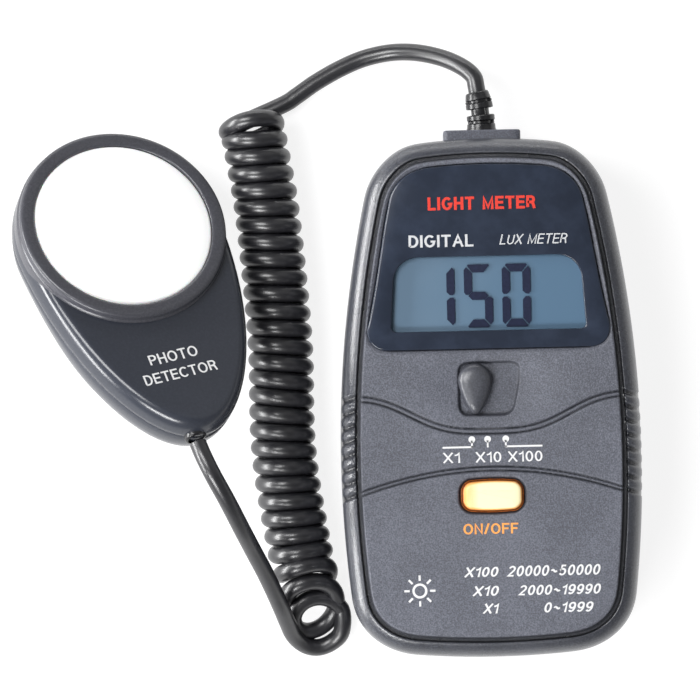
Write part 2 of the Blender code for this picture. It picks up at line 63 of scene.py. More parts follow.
# Case outline, as in the solid model
SIDE_HALF = 34.9
SIDE_MIDDLE = -14.0
SIDE_BOW = 0.001835
TOP_Y = 60.1
TOP_BOW = 0.0038
BOTTOM_Y = -60.15
BOTTOM_BOW = 0.0025
TOP_CORNER = ((28.07, 47.0), (25.6, 57.9), (16.0, 59.1), 0.55)
BOTTOM_CORNER = ((18.0, -59.34), (31.6, -58.2), (33.02, -46.0), 0.6)
FACE_Z = 28.8
PARTING_Z = 14.5
RIM_EDGE = (  # inset and height of the rim's section, up to the foot of its groove
    (0.0, 21.5), (0.06, 22.8), (0.2, 24.0), (0.42, 25.0), (0.72, 25.85), (1.1, 26.5), (1.55, 27.0),
    (2.05, 27.42), (2.55, 27.77), (2.95, 27.98), (3.2, 28.06), (3.38, 28.0), (3.5, 27.8), (3.58, 27.5),
)
GROOVE_FOOT = RIM_EDGE[-1][0]
GROOVE_Z = 27.3  # the groove between the bead and the face
GROOVE_END = 4.45
BACK_EDGE = ((0.0, 8.0), (0.25, 5.0), (0.9, 2.5), (2.0, 0.8), (3.4, 0.0))
UPPER_ARCH_HALF = 0.58  # half the width of each arched groove in the face
LOWER_ARCH_HALF = 0.45

# Grip: ribs across the rim at the waist, between the two arched grooves
RIB_TOP_Y = -0.35
RIB_PITCH = 3.24
RIB_COUNT = 7
RIB_DEPTH = 0.42
RIB_SLANT = 0.3
GRIP_X = 25  # the grip lies past this, on both sides

# Display
LABEL_Y = (11.3, 54.1)
LABEL_HALF = ((28.2, 15.5), (24.6, 34.3), (22.4, 46.0))
LABEL_TOP_Z = 29.0
LABEL_SEAT_Z = 27.5
WINDOW_Y = (15.5, 32.8)
WINDOW_HALF = (22.6, 21.8)
DISPLAY_Y = 24.05
PANEL_Z = 27.45
DIGIT_SIZE = (6.6, 14.6)
DIGIT_STROKE = 1.85
DIGIT_PITCH = 8.8

# Controls
KNOB_PLACE = (-3.5, 2.0)
KNOB_HALF = 3.95
KNOB_ROUND = (1.9, 4.1)  # the round part's middle along Y, and its half height
KNOB_TAIL = 7.75  # how far the tip lies below that middle
KNOB_RINGS = (  # share of the outline, height and painted shade at the knob's foot
    (0.7, 27.35, 1.0), (0.7, 28.15, 1.0), (0.97, 28.25, 0.9), (1.0, 28.45, 0.7), (0.975, 28.95, 0.2),
    (0.93, 29.4, 0.0), (0.85, 29.85, 0.0), (0.73, 30.2, 0.0), (0.57, 30.42, 0.0), (0.38, 30.52, 0.0),
    (0.18, 30.56, 0.0),
)
RECESS_CORNERS = ((-7.3, -4.1), (5.2, -4.1), (6.9, 4.0), (7.0, 8.2), (-7.3, 8.2))
RECESS_Z = 27.3
BUTTON_Y = -22.7
BUTTON_HALF = (6.95, 3.1)
BUTTON_BOW = 0.14
BUTTON_TOP_Z = 29.5
BUTTON_SEAT_Z = 27.7

# Back
COVER_HALF = 27.5
COVER_TOP_Y = -24.0
BAY_HALF = (25.3, 13.8)
BAY_Y = -40.0
BAY_TOP_Z = 14.3
SEAT_Z = 1.95
SCREW_PLACES = ((-27.5, -19.0), (27.5, -19.0), (-20.0, 49.5), (20.0, 49.5))

# Cord
CORD_R = 2.0
CORD_SIDES = 20
TURN_R = 5.65  # from the coil's axis to the middle of the cord
TURN_STEPS = 32  # points in each of the coil's turns
EXIT = (-0.5, 62.1, 14.5)
BOOT_BEND = 0.0118  # how fast the boot curves to the left
BOOT_PROFILE = (  # distance from the block's face, and radius
    (-0.8, 3.45), (0.1, 3.45), (0.5, 3.32), (1.35, 3.27), (1.5, 3.1), (1.6, 2.55), (2.1, 2.55), (2.2, 3.1),
    (2.35, 3.27), (3.3, 3.25), (3.5, 3.05), (3.6, 2.1), (4.9, 2.1), (5.0, 3.0), (5.15, 3.17), (6.2, 3.12),
    (6.35, 2.95), (6.45, 2.45), (6.95, 2.45), (7.05, 2.85), (7.2, 3.0), (8.5, 2.72), (8.75, 2.6),
    (8.9, 2.35), (8.95, 2.02),
)
WEB_R = 3.1  # the webs between the boot's ribs
BLOCK_PROFILE = (  # place along Y, and half the width and height
    (58.0, 8.95, 6.0), (61.6, 8.95, 6.0), (61.9, 8.85, 5.9), (62.05, 8.6, 5.65), (62.1, 8.2, 5.3),
)
METER_LEAD = (
    (-1.5, 72.2, 14.5), (-2.1, 74.6, 14.0), (-4.6, 76.9, 12.4), (-9.0, 79.1, 9.4), (-14.86, 80.6, 6.0),
    (-20.9, 80.85, 3.4), (-27.2, 79.7, 2.2), (-33.0, 77.4, 2.0), (-38.9, 74.2, 2.0), (-43.2, 71.3, 2.0),
    (-46.5, 69.3, 2.0),
)
COIL_AXIS = (
    (-53.95, 65.2), (-52.54, 56.3), (-51.2, 47.9), (-50.35, 40.0), (-49.7, 32.5), (-49.0, 23.7),
    (-48.5, 15.6), (-48.3, 8.1), (-48.4, -0.2), (-48.3, -8.4), (-47.7, -16.3), (-46.6, -24.4),
    (-44.87, -35.19),
)
COIL_TURNS = (28.95, 0.27)  # the coil's ends, in turns from its last strand
TOP_TURN = 28.5  # turns from the last strand to the first point of COIL_AXIS
CLOSE_TURN = 3.5  # and to its last point
TOP_SHIFTS = ((0.0, 1.0, 0.22), (0.3, -2.6, 0.2), (-0.5, -1.9, 0.2))  # turns past TOP_TURN, shift, spread
END_DOWN = (0.36, -0.93, 0.0)  # which way the coil's axis points at its last, lying loop
END_LEAN = math.radians(80.0)  # how far that loop lies down
LEAN_TURN = 3.6  # the turn where the loops start to lie down
STRAIGHT_TURN = 6.5  # the turn where they start to turn towards END_DOWN
OPEN_TURNS = (  # turn and middle of the loops that open out
    (0.0, -40.26, -51.79), (0.5, -40.93, -50.75), (1.0, -41.81, -48.51), (1.5, -42.55, -45.38),
    (2.0, -43.29, -42.46), (2.5, -43.81, -39.67), (3.5, -44.87, -35.19),
)
HEAD_LEAD = (
    (-34.8, -50.7, 4.4), (-35.6, -53.7, 3.2), (-37.9, -56.3, 2.2), (-41.2, -57.5, 2.0), (-44.3, -56.8, 3.2),
    (-46.8, -54.5, 6.0), (-48.2, -51.3, 9.8), (-49.5, -47.9, 13.8), (-51.0, -44.2, 17.6),
    (-53.2, -39.2, 22.8), (-55.6, -34.3, 28.2), (-58.2, -28.9, 34.2), (-61.3, -22.4, 39.6),
    (-64.2, -16.8, 42.0), (-66.3, -12.4, 41.8), (-67.7, -9.0, 40.4),
)

# Sensor head, in its own frame: disc at the origin, lead towards -Y, face towards +Z
HEAD_R = 24.8
HEAD_TIP = 53.5
HEAD_PLACE = (-85.72, 38.25, 18.9)
HEAD_RISE = math.radians(23.1)
HEAD_ROLL = math.radians(22.0)
HEAD_TURN = math.radians(20.9)
HEAD_LEAN = 0.034  # how far the taper leans to the right, for each millimetre along it
HEAD_BACK_Z = -9.0
PLATE_Z = 5.5
HEAD_SCREWS = ((-9.0, -30.0), (9.0, -30.0), (0.0, 19.0))


# ------------------------ curves and outlines

def ease(value, low, high):
    """0 below low, 1 above high, and smooth between them."""
    t = np.clip((np.asarray(value, float) - low) / (high - low), 0, 1)
    return t * t * (3 - 2 * t)


def smooth_route(points, steps):
    """Points on a smooth curve through the route's own points (Catmull-Rom)."""
    places = [Vector(p) for p in points]
    places = [2 * places[0] - places[1]] + places + [2 * places[-1] - places[-2]]
    curve = []
    for k in range(1, len(places) - 2):
        a, b, c, d = places[k - 1:k + 3]
        for step in range(steps):
            t = step / steps
            curve.append(0.5 * (2 * b + (c - a) * t + (2 * a - 5 * b + 4 * c - d) * t ** 2
                                + (3 * b - a - 3 * c + d) * t ** 3))
    curve.append(places[-2])
    return curve


def corner_curve(first, corner, last, grip, steps):
    """Points on a soft corner, without its first one."""
    grips = [[p + (c - p) * grip for p, c in zip(end, corner)] for end in (first, last)]
    points = []
    for k in range(1, steps + 1):
        t = k / steps
        weights = ((1 - t) ** 3, 3 * t * (1 - t) ** 2, 3 * t * t * (1 - t), t ** 3)
        ends = (first, grips[0], grips[1], last)
        points.append(tuple(sum(w * p[axis] for w, p in zip(weights, ends)) for axis in (0, 1)))
    return points


def mirrored(half):
    """A closed outline from its right half, which runs from the bottom middle to the top middle."""
    return half + [(-x, y) for x, y in reversed(half[1:-1])]


def even(outline, count, soften=0):
    """A closed outline again, with evenly spaced points, and its kinks softened."""
    ring = np.array(outline, float)
    ring = np.vstack([ring, ring[:1]])
    along = np.concatenate([[0], np.cumsum(np.linalg.norm(np.diff(ring, axis=0), axis=1))])
    at = np.linspace(0, along[-1], count, endpoint=False)
    ring = np.stack([np.interp(at, along, ring[:, axis]) for axis in (0, 1)], axis=1)
    for _ in range(soften):
        ring = (np.roll(ring, 1, axis=0) + 2 * ring + np.roll(ring, -1, axis=0)) / 4
    return ring


def inset(outline, distance):
    """The outline moved inwards, by one distance or by one for each point."""
    along = np.roll(outline, -1, axis=0) - np.roll(outline, 1, axis=0)
    along /= np.linalg.norm(along, axis=1)[:, None]
    inward = np.stack([-along[:, 1], along[:, 0]], axis=1)
    return outline + inward * np.reshape(distance, (-1, 1))


def level(outline, z):
    """An outline as a ring at one height, or at a height for each point."""
    return np.column_stack([outline, np.broadcast_to(z, len(outline))])


def inside_by(outline, x, y):
    """How far points lie inside a closed outline; outside it the distance is negative."""
    start = np.asarray(outline, float)
    along = np.roll(start, -1, axis=0) - start
    length2 = (along ** 2).sum(1)
    points = np.stack([np.ravel(x), np.ravel(y)], axis=1)
    result = np.empty(len(points))
    for first in range(0, len(points), 4000):
        away = points[first:first + 4000, None, :] - start
        t = np.clip((away * along).sum(2) / length2, 0, 1)
        away -= t[..., None] * along
        far2 = (away ** 2).sum(2)
        nearest = far2.argmin(1)
        rows = np.arange(len(nearest))
        offset = away[rows, nearest]
        side = along[nearest, 0] * offset[:, 1] - along[nearest, 1] * offset[:, 0]
        result[first:first + 4000] = np.sign(side) * np.sqrt(far2[rows, nearest])
    return result.reshape(np.shape(x))


def arc(x, y, half_x, half_y, start, end, steps=12):
    """Points along part of an ellipse, from one angle to another in degrees."""
    return [(x + half_x * math.cos(math.radians(a)), y + half_y * math.sin(math.radians(a)))
            for a in np.linspace(start, end, steps)]


def rounded(half_x, half_y, radius, middle=(0.0, 0.0), bow=0.0):
    """A rectangle with round corners, whose top and bottom may bow outwards."""
    points = []
    for quarter, (side_x, side_y) in enumerate(((1, 1), (-1, 1), (-1, -1), (1, -1))):
        points += arc(side_x * (half_x - radius), side_y * (half_y - radius), radius, radius,
                      90 * quarter, 90 * quarter + 90, 11)
    ring = even(points, 200)
    ring[:, 1] *= 1 + bow * (1 - (ring[:, 0] / half_x) ** 2)
    return ring + np.array(middle)


def case_outline(count):
    first, corner, last, grip = BOTTOM_CORNER
    half = [(x, BOTTOM_Y + BOTTOM_BOW * x * x) for x in np.linspace(0, first[0], 10)]
    half += corner_curve(first, corner, last, grip, 24)
    start, corner, end, grip = TOP_CORNER
    for y in np.linspace(last[1], start[1], 40)[1:]:
        half.append((SIDE_HALF - SIDE_BOW * (y - SIDE_MIDDLE) ** 2, y))
    half += corner_curve(start, corner, end, grip, 24)
    half += [(x, TOP_Y - TOP_BOW * x * x) for x in np.linspace(end[0], 0, 10)[1:]]
    return even(mirrored(half), count, soften=count // 60)


def label_outline(count):
    low, high = LABEL_Y
    base, middle, shoulder = LABEL_HALF
    half = [(0.0, low), (23.5, low)]
    half += corner_curve((23.5, low), (base[0] + 0.5, low), (base[0] - 0.1, base[1] + 1.2), 0.6, 14)
    half += [(base[0] + (middle[0] - base[0]) * t - 0.5 * math.sin(math.pi * t) * 0.3,
              base[1] + (middle[1] - base[1]) * t) for t in np.linspace(0.15, 1, 8)]
    half += [((middle[0] + shoulder[0]) / 2 + 0.12, (middle[1] + shoulder[1]) / 2), shoulder]
    half += corner_curve(shoulder, (20.9, 52.9), (13.0, high - 0.6), 0.6, 16)
    half += [(6.5, high - 0.15), (0.0, high)]
    return even(mirrored(half), count, soften=6)


def window_outline(count):
    low, high = WINDOW_Y
    wide, narrow = WINDOW_HALF
    half = [(0.0, low), (wide - 1.5, low)]
    half += corner_curve((wide - 1.5, low), (wide, low), (wide - 0.05, low + 1.3), 0.6, 6)
    half += corner_curve((narrow + 0.1, high - 6.0), (narrow - 0.15, high), (narrow - 6.2, high), 0.6, 12)
    half += [(0.0, high)]
    return even(mirrored(half), count)


def by_angle(outline, middle, count):
    """The outline's points in evenly spaced directions from a middle."""
    away = np.asarray(outline) - np.array(middle)
    angle = np.unwrap(np.arctan2(away[:, 1], away[:, 0]))
    reach = np.linalg.norm(away, axis=1)
    angle = np.concatenate([angle - TAU, angle, angle + TAU])
    reach = np.tile(reach, 3)
    order = np.argsort(angle)
    at = np.linspace(0, TAU, count, endpoint=False)
    radius = np.interp(at, angle[order], reach[order])
    return np.stack([middle[0] + radius * np.cos(at), middle[1] + radius * np.sin(at)], axis=1)


def circle(radius, count, middle=(0.0, 0.0)):
    at = np.linspace(0, TAU, count, endpoint=False)
    return np.stack([middle[0] + radius * np.cos(at), middle[1] + radius * np.sin(at)], axis=1)


def stack(outline, profile, base=0.0):
    """An outline's rings at (inset, height) pairs."""
    return [level(inset(outline, distance), base + z) for distance, z in profile]


# ------------------------ mesh making

class Shape:
    """The points and faces of one mesh, in millimetres."""

    def __init__(self):
        self.points = []
        self.faces = []
        # painted shade for each point, from 0 to 1
        self.dark = {}

    def paint_shade(self, amounts):
        """Paints shade on the last points, where they lie in a groove or hollow, from 0 for none to 1 for the
        deepest shade.
        """
        first = len(self.points) - len(amounts)
        self.dark.update((first + k, float(amount)) for k, amount in enumerate(amounts) if amount > 0)
        return self

    def skin(self, rings, closed=True, first_cap=False, last_cap=False):
        """Faces between rings of equal counts, and over the first and last ones."""
        start = len(self.points)
        count = len(rings[0])
        for ring in rings:
            self.points.extend(tuple(point) for point in np.asarray(ring, float).tolist())
        for i in range(len(rings) - 1):
            low = start + i * count
            for k in range(count if closed else count - 1):
                j = (k + 1) % count
                self.faces.append((low + k, low + j, low + count + j, low + count + k))
        end = len(self.points)
        if first_cap:
            self.faces.append(tuple(reversed(range(start, start + count))))
        if last_cap:
            self.faces.append(tuple(range(end - count, end)))
        return self

    def carpet(self, low, high, pitch, surface, face_up=True):
        """A fine grid on a surface, which gives each point's height, whether it is kept, and its painted
        shade.
        """
        x, y = np.meshgrid(*(np.arange(start, end + pitch, pitch) for start, end in zip(low, high)))
        z, kept, dark = surface(x, y)
        first, rest = slice(None, -1), slice(1, None)
        corners = ((first, first), (first, rest), (rest, rest), (rest, first))
        square = np.all([kept[corner] for corner in corners], axis=0)
        used = np.zeros(x.shape, bool)
        for corner in corners:
            used[corner] |= square
        number = np.full(x.shape, -1)
        number[used] = len(self.points) + np.arange(used.sum())
        self.points.extend(np.stack([x[used], y[used], z[used]], axis=1).tolist())
        self.paint_shade(np.broadcast_to(dark, x.shape)[used])
        faces = np.stack([number[corner][square] for corner in corners], axis=1)
        self.faces.extend(map(tuple, (faces if face_up else faces[:, ::-1]).tolist()))
        return self

    def area(self, outline, z):
        """A flat face on an outline."""
        return self.skin([level(np.asarray(outline, float), z)], last_cap=True)


def piece(name, shape, look, body, stands_for=(), place=None, sharp=50.0):
    """A visible piece from a shape, in the row frame, moving with a body."""
    points = np.array(shape.points, float)
    if place is not None:
        turn = np.array(place.to_3x3())
        points = points @ turn.T + np.array(place.translation)
    mesh = bpy.data.meshes.new(name)
    mesh.from_pydata((points * MM).tolist(), [], shape.faces)
    mesh.shade_smooth()
    mesh.set_sharp_from_angle(angle=math.radians(sharp))
    # the points' painted shade goes to the material as the groove attribute
    if shape.dark:
        groove = mesh.attributes.new("groove", "FLOAT", "POINT")
        for point, amount in shape.dark.items():
            groove.data[point].value = amount
    thing = bpy.data.objects.new(name, mesh)
    bpy.context.scene.collection.objects.link(thing)
    mesh.materials.append(LOOKS[look])
    if body:
        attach(thing, body)
    if stands_for:
        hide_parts(*stands_for)
    return thing


def cord_rings(points):
    """Rings of the cord round a smooth line, without twist."""
    line = [Vector(p) for p in points]
    rings = []
    side = None
    for k, here in enumerate(line):
        along = (line[min(k + 1, len(line) - 1)] - line[max(k - 1, 0)]).normalized()
        if side is None:
            side = along.cross(Vector((0.0, 0.0, 1.0))).normalized()
        side = (side - along * side.dot(along)).normalized()
        across = along.cross(side)
        rings.append([here + (side * math.cos(a) + across * math.sin(a)) * CORD_R
                      for a in np.linspace(0, TAU, CORD_SIDES, endpoint=False)])
    return rings


def revolve(profile):
    """Rings at (radius, height) pairs."""
    return [level(circle(radius, 160), z) for radius, z in profile]


# ------------------------ materials

def blank_material(name):
    """A new material, its nodes, its shader, and the place on the object that its patterns follow."""
    material = bpy.data.materials.new(name)
    material.use_nodes = True
    tree = material.node_tree
    spot = tree.nodes.new("ShaderNodeTexCoord").outputs["Object"]
    return material, tree, tree.nodes["Principled BSDF"], spot


def fill(tree, node, inputs):
    """Sets or links a node's inputs, by their names or numbers."""
    for name, value in inputs.items():
        if isinstance(value, bpy.types.NodeSocket):
            tree.links.new(value, node.inputs[name])
        else:
            node.inputs[name].default_value = value
    return node.outputs


def noise(tree, spot, size, detail=2.0, roughness=0.5):
    """Noise whose features are about that many millimetres across."""
    node = tree.nodes.new("ShaderNodeTexNoise")
    inputs = {"Vector": spot, "Scale": 1.0 / (size * MM), "Detail": detail, "Roughness": roughness}
    return fill(tree, node, inputs)["Fac"]


def combine(tree, operation, *terms):
    """The result of a sum of values and plain numbers."""
    node = tree.nodes.new("ShaderNodeMath")
    node.operation = operation
    return fill(tree, node, dict(enumerate(terms)))[0]


def share_along(tree, spot, axis, low, high, least=0.0):
    """A value that grows to 1 between two places on an axis, in millimetres."""
    place = fill(tree, tree.nodes.new("ShaderNodeSeparateXYZ"), {0: spot})[axis]
    inputs = {"Value": place, "From Min": low * MM, "From Max": high * MM, "To Min": least}
    return fill(tree, tree.nodes.new("ShaderNodeMapRange"), inputs)["Result"]


def ramp(tree, source, stops):
    """A colour, or a grey for a single number, from a value."""
    node = tree.nodes.new("ShaderNodeValToRGB")
    elements = node.color_ramp.elements
    while len(elements) < len(stops):
        elements.new(0.5)
    for element, (position, value) in zip(elements, stops):
        element.position = position
        element.color = (*value, 1.0) if isinstance(value, tuple) else (value, value, value, 1.0)
    return fill(tree, node, {"Fac": source})["Color"]


def bump(tree, shader, source, depth):
    """Surface relief of that many millimetres."""
    node = tree.nodes.new("ShaderNodeBump")
    normal = fill(tree, node, {"Height": source, "Distance": depth * MM})["Normal"]
    fill(tree, shader, {"Normal": normal})


def shade(colour, factor):
    return tuple(c * factor for c in colour)


def moulded(name, colour, gloss=(0.4, 0.5), grain=0.6, depth=0.01, spread=0.1, specular=0.5, painted_groove_shade=False):
    """Moulded plastic or rubber: fine grain, slow drifts of colour and gloss, and painted shade on the points
    that a shape marks.
    """
    material, tree, shader, spot = blank_material(name)
    fine = noise(tree, spot, grain, 3.0, 0.6)
    slow = noise(tree, spot, 18.0)
    both = combine(tree, "MULTIPLY_ADD", slow, 0.25, fine)
    tone = ramp(tree, both, ((0.50, shade(colour, 1 - spread)), (0.60, shade(colour, 1 - spread / 4)),
                             (0.78, shade(colour, 1 + 1.6 * spread))))
    # painted shade: the marked points mix towards a dark copy of the colour
    if painted_groove_shade:
        mark = tree.nodes.new("ShaderNodeAttribute")
        mark.attribute_name = "groove"
        mix = tree.nodes.new("ShaderNodeMix")
        mix.data_type = "RGBA"
        inputs = {"Factor": mark.outputs["Fac"], "A": tone, "B": (*shade(colour, 0.12), 1.0)}
        tone = fill(tree, mix, inputs)["Result"]
    rough = ramp(tree, slow, ((0.3, gloss[0]), (0.7, gloss[1])))
    fill(tree, shader, {"Base Color": tone, "Roughness": rough, "Specular IOR Level": specular})
    if depth:
        bump(tree, shader, fine, depth)
    return material


def ink(name, colour, spread=0.03):
    """Printed ink, thin and nearly matt."""
    return moulded(name, colour, grain=0.3, depth=0.004, spread=spread, specular=0.4)


def metal(name, colour):
    material = moulded(name, colour, (0.3, 0.42), 0.3, 0.004, 0.05)
    fill(material.node_tree, material.node_tree.nodes["Principled BSDF"], {"Metallic": 1.0})
    return material


def glowing_amber(name):
    """Amber plastic with painted light: cream on top, painted shade down its sides to dark brown, orange
    towards its left end, and a faint painted glow.
    """
    material, tree, shader, spot = blank_material(name)
    # painted shade by height: darker down the button's sides
    height = share_along(tree, spot, "Z", BUTTON_TOP_Z - 1.1, BUTTON_TOP_Z - 0.02)
    across = share_along(tree, spot, "X", -BUTTON_HALF[0], -0.3 * BUTTON_HALF[0], 0.72)
    both = combine(tree, "MULTIPLY", height, across)
    clouded = combine(tree, "MULTIPLY_ADD", noise(tree, spot, 2.5), 0.08, both)
    tone = ramp(tree, clouded, ((0.0, (0.06, 0.012, 0.004)), (0.45, (0.42, 0.10, 0.02)),
                                (0.78, (0.88, 0.46, 0.13)), (0.98, (0.90, 0.83, 0.52))))
    # the emission is a painted glow
    inputs = {"Base Color": tone, "Roughness": 0.3, "Emission Color": tone, "Emission Strength": 0.08}
    fill(tree, shader, inputs)
    return material


def lcd_back(name):
    """The panel's blue-grey reflector, a little darker towards its right."""
    material, tree, shader, spot = blank_material(name)
    across = share_along(tree, spot, "X", -WINDOW_HALF[0], WINDOW_HALF[0])
    clouded = combine(tree, "MULTIPLY_ADD", noise(tree, spot, 8.0), 0.3, across)
    tone = ramp(tree, clouded, ((0.3, (0.094, 0.160, 0.234)), (0.9, (0.068, 0.136, 0.216))))
    fill(tree, shader, {"Base Color": tone, "Roughness": 0.45})
    bump(tree, shader, noise(tree, spot, 0.12), 0.002)
    return material


def opal(name):
    """White diffusing plastic, with a faint painted glow from its emission."""
    material, tree, shader, spot = blank_material(name)
    tone = ramp(tree, noise(tree, spot, 9.0), ((0.3, (0.93, 0.93, 0.92)), (0.7, (0.97, 0.97, 0.97))))
    # the emission is a painted glow, so that the disc stays white
    fill(tree, shader, {
        "Base Color": tone, "Roughness": 0.4, "Subsurface Weight": 0.15, "Subsurface Scale": 0.002,
        "Emission Color": (1.0, 1.0, 1.0, 1.0), "Emission Strength": 0.15,
    })
    bump(tree, shader, noise(tree, spot, 0.25), 0.003)
    return material


def circuit(name):
    """Green board with paler copper tracks under its lacquer."""
    material, tree, shader, spot = blank_material(name)
    cells = tree.nodes.new("ShaderNodeTexVoronoi")
    cells.distance = "MANHATTAN"
    cells.feature = "F2"
    away = fill(tree, cells, {"Vector": spot, "Scale": 1 / (4.0 * MM)})["Distance"]
    tone = ramp(tree, away, ((0.42, (0.01, 0.11, 0.04)), (0.5, (0.05, 0.27, 0.09))))
    fill(tree, shader, {"Base Color": tone, "Roughness": 0.3})
    return material


def pale_paper(name):
    """The floor, bright enough of its own to be white round the shadows."""
    material = moulded(name, (0.26, 0.26, 0.261), (0.8, 0.9), 40.0, 0.0, 0.004, 0.1)
    glow = {"Emission Color": (1.0, 1.0, 1.0, 1.0), "Emission Strength": 0.85}
    fill(material.node_tree, material.node_tree.nodes["Principled BSDF"], glow)
    return material


def make_materials():
    return {
        # the case, the rim and the knob take the painted shade of their marked points
        "case": moulded("case_plastic", (0.103, 0.109, 0.135), (0.42, 0.5), 0.34, 0.11, 0.30, 0.5, True),
        "rim": moulded("rim_plastic", (0.046, 0.049, 0.061), (0.25, 0.31), 0.42, 0.06, 0.25, 0.95, True),
        "head": moulded("sensor_plastic", (0.031, 0.035, 0.047), (0.19, 0.24), 0.6, 0.002, 0.05, 0.6),
        "ring": moulded("ring_plastic", (0.060, 0.061, 0.072), (0.22, 0.3), 0.5, 0.006),
        "label": moulded("label_gloss", (0.022, 0.029, 0.047), (0.1, 0.16), 6.0, 0.001, 0.12),
        "knob": moulded("knob_plastic", (0.056, 0.059, 0.072), (0.32, 0.38), 0.45, 0.03, 0.2, 0.8, True),
        "cord": moulded("cord_rubber", (0.013, 0.013, 0.016), (0.31, 0.36), 1.2, 0.006, 0.15, 0.95),
        "relief": moulded("relief_rubber", (0.012, 0.012, 0.014), (0.22, 0.3), 0.8, 0.01, 0.15, 0.6),
        "white": ink("print_white", (0.74, 0.74, 0.75)),
        "grey": ink("print_grey", (0.56, 0.57, 0.59)),
        "red": ink("print_red", (0.66, 0.040, 0.024), 0.06),
        "orange": ink("print_orange", (0.90, 0.36, 0.09), 0.06),
        "digit": moulded("digit_ink", (0.012, 0.016, 0.040), depth=0.0, specular=0.2),
        "black": moulded("black_plastic", (0.015, 0.015, 0.017), spread=0.15),
        "ivory": moulded("white_plastic", (0.72, 0.71, 0.68), spread=0.05),
        "red_plastic": moulded("red_plastic", (0.5, 0.03, 0.02), (0.35, 0.45), depth=0.008, spread=0.08),
        "battery": moulded("battery_skin", (0.02, 0.02, 0.022), (0.25, 0.35), 2.0, spread=0.4),
        "steel": metal("plated_steel", (0.55, 0.55, 0.57)),
        "amber": glowing_amber("button_amber"),
        # a darker copy of the amber, painted shade for the button's sides
        "shaded_amber_edge": moulded("shaded_amber_edge", (0.30, 0.085, 0.018), (0.25, 0.35), 0.6, 0.004, 0.3),
        "lcd": lcd_back("lcd_reflector"),
        "opal": opal("opal_white"),
        "circuit": circuit("circuit_board"),
        "filter": moulded("filter_glass", (0.12, 0.38, 0.2), (0.05, 0.1), 3.0, 0.0),
        "paper": pale_paper("pale_floor"),
    }


LOOKS = make_materials()


# ------------------------ camera, light and floor

def make_camera():
    camera = bpy.data.objects.new("camera", bpy.data.cameras.new("camera"))
    camera.data.sensor_width = 36.0
    camera.data.lens = 36.0 * VIEW_DISTANCE / VIEW_WIDTH
    camera.location = Vector((*VIEW_MIDDLE, VIEW_DISTANCE + 20.0)) * MM
    camera.rotation_euler = (0.0, 0.0, VIEW_TURN)
    bpy.context.scene.collection.objects.link(camera)
    bpy.context.scene.camera = camera


def softbox(name, at, size, power):
    light = bpy.data.objects.new(name, bpy.data.lights.new(name, "AREA"))
    light.data.shape = "RECTANGLE"
    light.data.size, light.data.size_y = size
    light.data.energy = power
    light.location = at
    light.rotation_euler = (Vector(LIGHT_AIM) - Vector(at)).to_track_quat("-Z", "Y").to_euler()
    bpy.context.scene.collection.objects.link(light)


def make_world():
    """White round the horizon, like the floor, and darker overhead, so that glossy tops stay dark."""
    world = bpy.data.worlds.new("studio")
    world.use_nodes = True
    tree = world.node_tree
    spot = tree.nodes.new("ShaderNodeTexCoord").outputs["Generated"]
    height = fill(tree, tree.nodes.new("ShaderNodeSeparateXYZ"), {0: spot})["Z"]
    tone = ramp(tree, height, ((0.0, 1.0), (0.03, 0.6), (0.15, 0.28), (0.8, 0.13)))
    fill(tree, tree.nodes["Background"], {"Color": tone})
    bpy.context.scene.world = world


def make_studio():
    softbox("key_softbox", (-0.46, 0.24, 0.80), (0.30, 0.5), 5.3)
    softbox("left_strip", (-0.93, 0.05, 0.26), (1.0, 0.18), 12.0)
    softbox("top_strip", (-0.15, 1.0, 0.05), (1.1, 0.06), 1.6)
    softbox("low_left_strip", (-0.42, -0.58, 0.70), (0.5, 0.2), 6.6)
    softbox("upper_right_fill", (0.62, 0.62, 0.8), (0.9, 0.9), 0.7)
    make_world()
    bpy.context.scene.view_settings.view_transform = "Standard"
    piece("floor", Shape().area(rounded(1500, 1500, 60), 0.0), "paper", None)


# ------------------------ cord

def coil_points():
    """The curly part, from the meter's end on: a left-handed helix whose last loops lie down."""
    axis = np.array([tuple(p)[:2] for p in smooth_route([(x, y, 0.0) for x, y in COIL_AXIS], 8)])
    along = np.concatenate([[0], np.cumsum(np.linalg.norm(np.diff(axis, axis=0), axis=1))])
    opening = np.array([tuple(p) for p in smooth_route(OPEN_TURNS, 12)])

    def middle_at(turn):
        if turn < CLOSE_TURN:
            return Vector([np.interp(turn, opening[:, 0], opening[:, k]) for k in (1, 2)] + [0.0])
        at = along[-1] * (TOP_TURN - turn) / (TOP_TURN - CLOSE_TURN)
        middle = Vector([np.interp(at, along, axis[:, k]) for k in (0, 1)] + [0.0])
        return middle + Vector((*(axis[1] - axis[0]), 0.0)).normalized() * min(at, 0.0)

    first, last = COIL_TURNS
    count = int((first - last) * TURN_STEPS)
    points = []
    for turn in (first + (last - first) * k / count for k in range(count + 1)):
        down = (middle_at(max(turn - 0.5, 0.0)) - middle_at(turn + 0.5)).normalized()
        straight = float(ease(turn, 0.0, STRAIGHT_TURN))
        down = (down * straight + Vector(END_DOWN) * (1 - straight)).normalized()
        right = Vector((-down.y, down.x, 0.0))
        lean = END_LEAN * max(0.0, 1 - turn / LEAN_TURN) ** 1.4
        up = Vector((0.0, 0.0, math.cos(lean))) - down * math.sin(lean)
        point = middle_at(turn) + Vector((0.0, 0.0, CORD_R + TURN_R * math.cos(lean)))
        point += (right * math.sin(TAU * turn) - up * math.cos(TAU * turn)) * TURN_R
        for past, shift, spread in TOP_SHIFTS:
            point.y += shift * math.exp(-((turn - TOP_TURN - past) / spread) ** 2)
        points.append(point)
    return points


def boot_axis(distance):
    """The boot's own middle line, from the block's face outwards."""
    return Vector((EXIT[0] - BOOT_BEND * distance ** 2, EXIT[1] + distance, EXIT[2]))


def cord_piece(name, rings, body, stands_for):
    """A closed length of cord."""
    return piece(name, Shape().skin(rings, first_cap=True, last_cap=True), "cord", body, stands_for)


